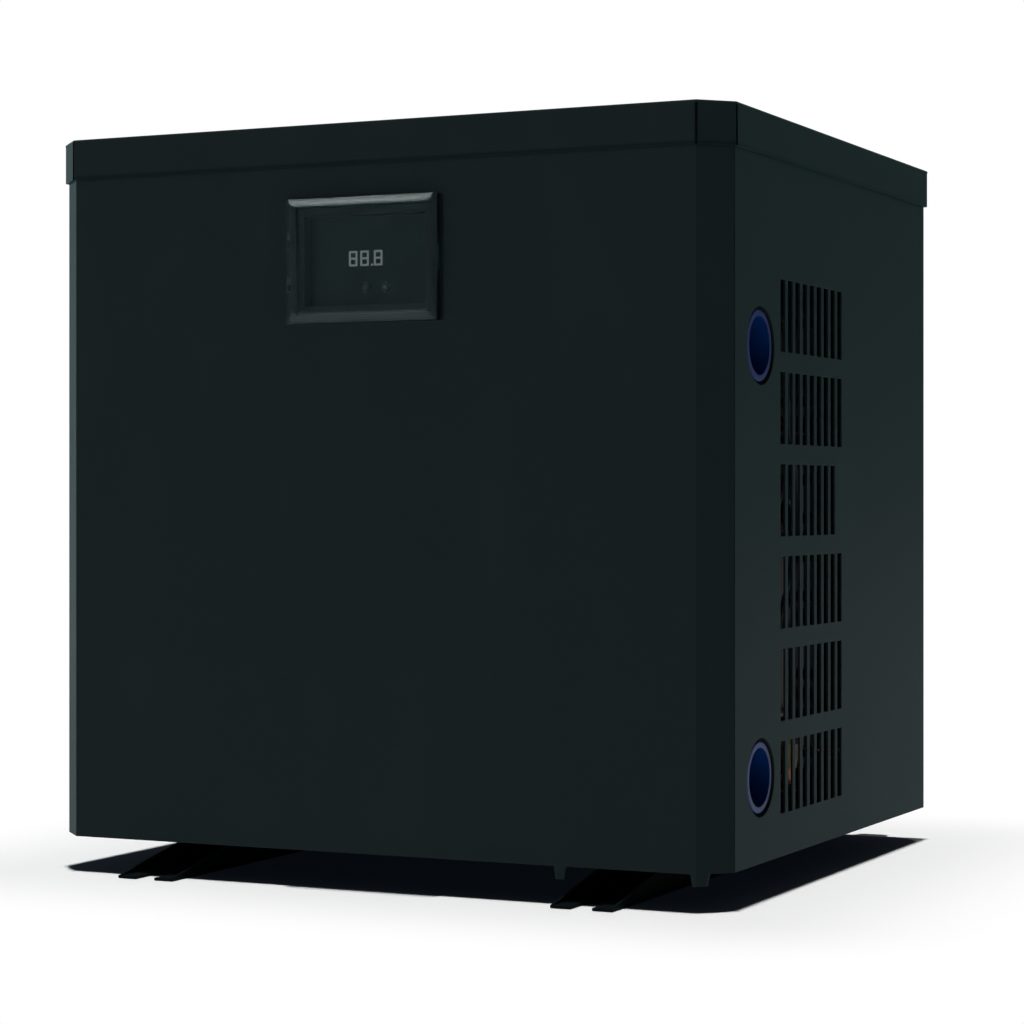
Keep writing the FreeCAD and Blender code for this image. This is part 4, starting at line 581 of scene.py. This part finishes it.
lead("flow_switch_lead",
     [(166, -122, 366), (168, -119, 377), (184, -110, 372), (199, -90, 345), (201, -74, 312), (201, -60, 286),
      (201, -50, 262), (200, -40, 236), (200, -33, 212), (199, -38, 188), (198, -47, 165), (193, -58, 135),
      (190, -66, 100), (188, -62, 66), (182, -52, 46), (150, -50, 44), (100, -47, 42), (50, -52, 42),
      (20, -95, 46), (6, -134, 58), (-20, -140, 60), (-34, -140, 60)], 1.5 * MM)
lead("pressure_switch_lead",
     [(180, -66, 332), (190, -66, 334), (202, -70, 324), (205, -68, 304), (202, -56, 284), (203, -62, 264),
      (201, -50, 246), (198, -54, 225), (194, -64, 190), (192, -70, 140), (190, -72, 100), (186, -60, 62),
      (180, -48, 49), (150, -46, 47), (100, -43, 45), (50, -48, 45), (23, -92, 49), (9, -131, 61),
      (-20, -138, 62), (-34, -138, 62)], 1.2 * MM)
print("2 thin leads")

# %% [markdown]
# ## Foam seals round the water sockets
#
# The holes in the side panel are a little wider than the sockets, so that the panel can be lifted off. On
# the real machine a ring of soft foam sits on each socket and presses against the panel from behind, which
# keeps dust, light and rattle out of the gap. A ring is a closed outline turned round the socket's axis.
# The outline has bevelled outer corners, as soft foam gives way a little where it is pressed.

# %% Turn the seals
SEAL_GAP = 0.1 * MM
SEAL_REACH = 5.5 * MM
SEAL_DEPTH = 4.2 * MM
SEAL_BACK = 0.6 * MM
SEAL_CORNER = 0.9 * MM


def turned_ring(name, middle, outline, steps=72):
    """A foam ring round an axis along x, from a closed outline of (radius, x) points."""
    work = bmesh.new()
    rims = []
    for step in range(steps):
        turn = 2 * math.pi * step / steps
        rims.append([work.verts.new((x, middle.y + r * math.cos(turn), middle.z + r * math.sin(turn)))
                     for r, x in outline])
    for one, other in zip(rims, rims[1:] + rims[:1]):
        for i in range(len(outline)):
            j = (i + 1) % len(outline)
            work.faces.new([one[i], one[j], other[j], other[i]])
    return add_piece(name, mesh_of(work, name, smooth=True), foam, "casing")


def seal_outline(radius, mouth):
    """The cut through a seal on a socket of a given radius, whose mouth is at a given x."""
    inner, outer = radius + SEAL_GAP, radius + SEAL_REACH
    front = mouth - SEAL_BACK
    back = front - SEAL_DEPTH
    return [(inner, back), (outer - SEAL_CORNER, back), (outer, back + SEAL_CORNER),
            (outer, front - SEAL_CORNER), (outer - SEAL_CORNER, front), (inner, front)]


for node in ("lower_socket", "upper_socket"):
    low, high = box_of(node)
    outline = seal_outline((high.z - low.z) / 2, high.x)
    turned_ring(node + "_seal", (low + high) / 2, outline)
print("2 foam seals of", round(SEAL_DEPTH / MM, 1), "mm")

# %% [markdown]
# ## Floor
#
# The machine stands on white painted ground. Near the machine the ground is plain paint, lit by the lamps,
# so it keeps the machine's shadow and the gaps under the rails stay dark. A lamp cannot light a floor
# evenly out to the horizon, so further out the paint hands over to its own white for the camera, for
# reflections and for light through clear parts. The hand-over is a smooth band that starts just outside
# the lid's outline, where the overhead lamp's shadow ends. White ground right under the machine would throw
# light up into the gap, so there the paint is darkened into a painted shadow with rounded corners that ends
# at the lid's outline, and a faint painted glow keeps that shadow from pure black. It could be a sheet of
# its own, but as a colour in the paint it has no edge to stand proud.

# %% Floor
FLOOR_HALF = 9.0
ANY_HEIGHT = 10.0
SHADOW_EDGE = (LID_HIGH.x + 2.0 * MM, LID_HIGH.y + 2.5 * MM, ANY_HEIGHT)
HANDOVER = 150 * MM
PAINTED_SHADOW_CORE = (LID_HIGH.x - 24.5 * MM, LID_HIGH.y - 24.0 * MM, ANY_HEIGHT)
PAINTED_SHADOW_CORNER = 24 * MM
PAINTED_SHADOW_FADE = 3 * MM
PAINTED_SHADOW_COLOUR = (0.10, 0.12, 0.15)
PAINTED_SHADOW_GLOW = (0.0018, 0.0026, 0.0042)


def distance_beyond(finish, half_size):
    """How far a point lies outside a box round the middle: 0 inside it."""
    across = finish.vector_math("ABSOLUTE", finish.place())
    past = finish.vector_math("SUBTRACT", across, half_size)
    past = finish.vector_math("MAXIMUM", past, (0.0, 0.0, 0.0))
    return finish.vector_math("LENGTH", past, out="Value")


def studio_white(name):
    white = Finish(name, Roughness=0.9, Specular_IOR_Level=0.0, Emission_Strength=1.0)
    off_painted_shadow = distance_beyond(white, PAINTED_SHADOW_CORE).step(PAINTED_SHADOW_CORNER - PAINTED_SHADOW_FADE, PAINTED_SHADOW_CORNER)
    open_ground = white.mix(white.noise(0.02, detail=3.0), (0.81, 0.81, 0.81), (0.83, 0.83, 0.83))
    # Under the machine the base colour is a painted shadow, and the emission is a faint painted glow in it.
    white.set(Base_Color=white.mix(off_painted_shadow, PAINTED_SHADOW_COLOUR, open_ground),
              Emission_Color=white.mix(off_painted_shadow, PAINTED_SHADOW_GLOW, (0.0, 0.0, 0.0)))
    seen = white.light_paths("Is Camera Ray", "Is Glossy Ray", "Is Transmission Ray")
    glow = white.node("Emission", Color=(1.0, 1.0, 1.0), Strength=1.0)
    white.mixed(seen * distance_beyond(white, SHADOW_EDGE).step(0.0, HANDOVER), white.plain(), glow)
    return white.material


def studio_floor(name, finish, half, level):
    mesh = bpy.data.meshes.new(name)
    corners = [(-half, -half, level), (half, -half, level), (half, half, level), (-half, half, level)]
    mesh.from_pydata(corners, [], [(0, 1, 2, 3)])
    mesh.materials.append(finish)
    floor = add_object(name, mesh)
    return floor


studio_floor("studio_floor", studio_white("studio_white"), FLOOR_HALF, cad_box[0].z - 0.2 * MM)
print("floor is", 2 * FLOOR_HALF, "m wide")

# %% [markdown]
# ## The room around it
#
# Seen directly or through clear parts, the room is white. As a source of light it is a dark studio with a
# white backdrop behind the machine, and reflections show that same white backdrop. A little light comes from
# the right-hand wall and from above. Reflections also see a small bright window high up, which draws the line
# along the cover's upper bevel. Little light comes in low, so the gap under the casing stays dark. Walls and
# a ceiling could be built as objects, but they would stand in the way of a camera that goes round the
# machine. So the whole room is the world's light: it depends only on where a ray points and on its kind.

# %% World
world = bpy.data.worlds.new("studio_world")
world.use_nodes = True
bpy.context.scene.world = world
sky = Graph(world.node_tree)


def facing(direction, low, high):
    """Rises from 0 to 1 as a ray turns towards the given compass direction."""
    ray = sky.node("TexCoord", out="Generated")
    aim = tuple(Vector(direction).normalized())
    return sky.vector_math("DOT_PRODUCT", ray, aim, out="Value").step(low, high)


backdrop = facing((-0.43, 0.90, 0.0), 0.90, 0.97)
beside = facing((0.43, 0.90, 0.0), 0.60, 0.95)
window = facing((-0.43, -0.17, 0.89), 0.982, 0.992)
above = facing((0.0, 0.0, 1.0), 0.20, 0.75)
shiny = sky.light_paths("Is Glossy Ray")
room = 0.015 + 0.95 * backdrop + 0.16 * beside + 0.05 * above + 8.6 * window * shiny
seen = (sky.light_paths("Is Camera Ray", "Is Transmission Ray") + shiny * backdrop).clamp()
sky.fill(sky.tree.nodes["Background"], Color=(1.0, 1.0, 1.0), Strength=seen + room * (1 - seen))
print("world has", len(sky.tree.nodes), "nodes")

# %% [markdown]
# ## Lamps
#
# The overhead lamp is far away and small, which keeps the shadow straight under the casing and its edge
# crisp. A second one, level with the machine and half left of it, lights the front. It leaves the floor
# alone and puts the clear cover's narrow shadow on the panel. As a bare point it would burn a spot into the
# cover, so reflections do not see it. A low soft lamp on the left draws the bright line along the left
# fold. The world alone could light everything, but only a lamp gives a shadow a crisp edge. The two far
# lamps shine as the sun does, so only their direction counts and not how far away they are put. The view
# transform is Standard, which leaves colours as they are written.

# %% Lamps
def lamp(name, kind, place, aim=(0.0, 0.0, 0.0), **settings):
    """A lamp at a place, turned to shine at a point."""
    light = bpy.data.lights.new(name, kind)
    for setting, item in settings.items():
        setattr(light, setting, item)
    added = add_object(name, light)
    added.location = place
    added.rotation_euler = (Vector(aim) - Vector(place)).to_track_quat("-Z", "Y").to_euler()
    return added


lamp("overhead_lamp", "SUN", (0.0, 0.0, 3.0), energy=3.0, angle=math.radians(0.7))
front_lamp = lamp("front_lamp", "SUN", (-1.32, -2.70, 0.012), energy=1.15, angle=math.radians(0.6))
front_lamp.visible_glossy = False
lamp("left_lamp", "AREA", (-2.3, 0.6, 0.3), aim=(-0.1, -0.1, 0.25), shape="RECTANGLE", size=0.6, size_y=1.4,
     energy=12.0, color=(0.80, 1.0, 0.99))
bpy.context.scene.view_settings.view_transform = "Standard"
print(len(bpy.data.lights), "lamps")
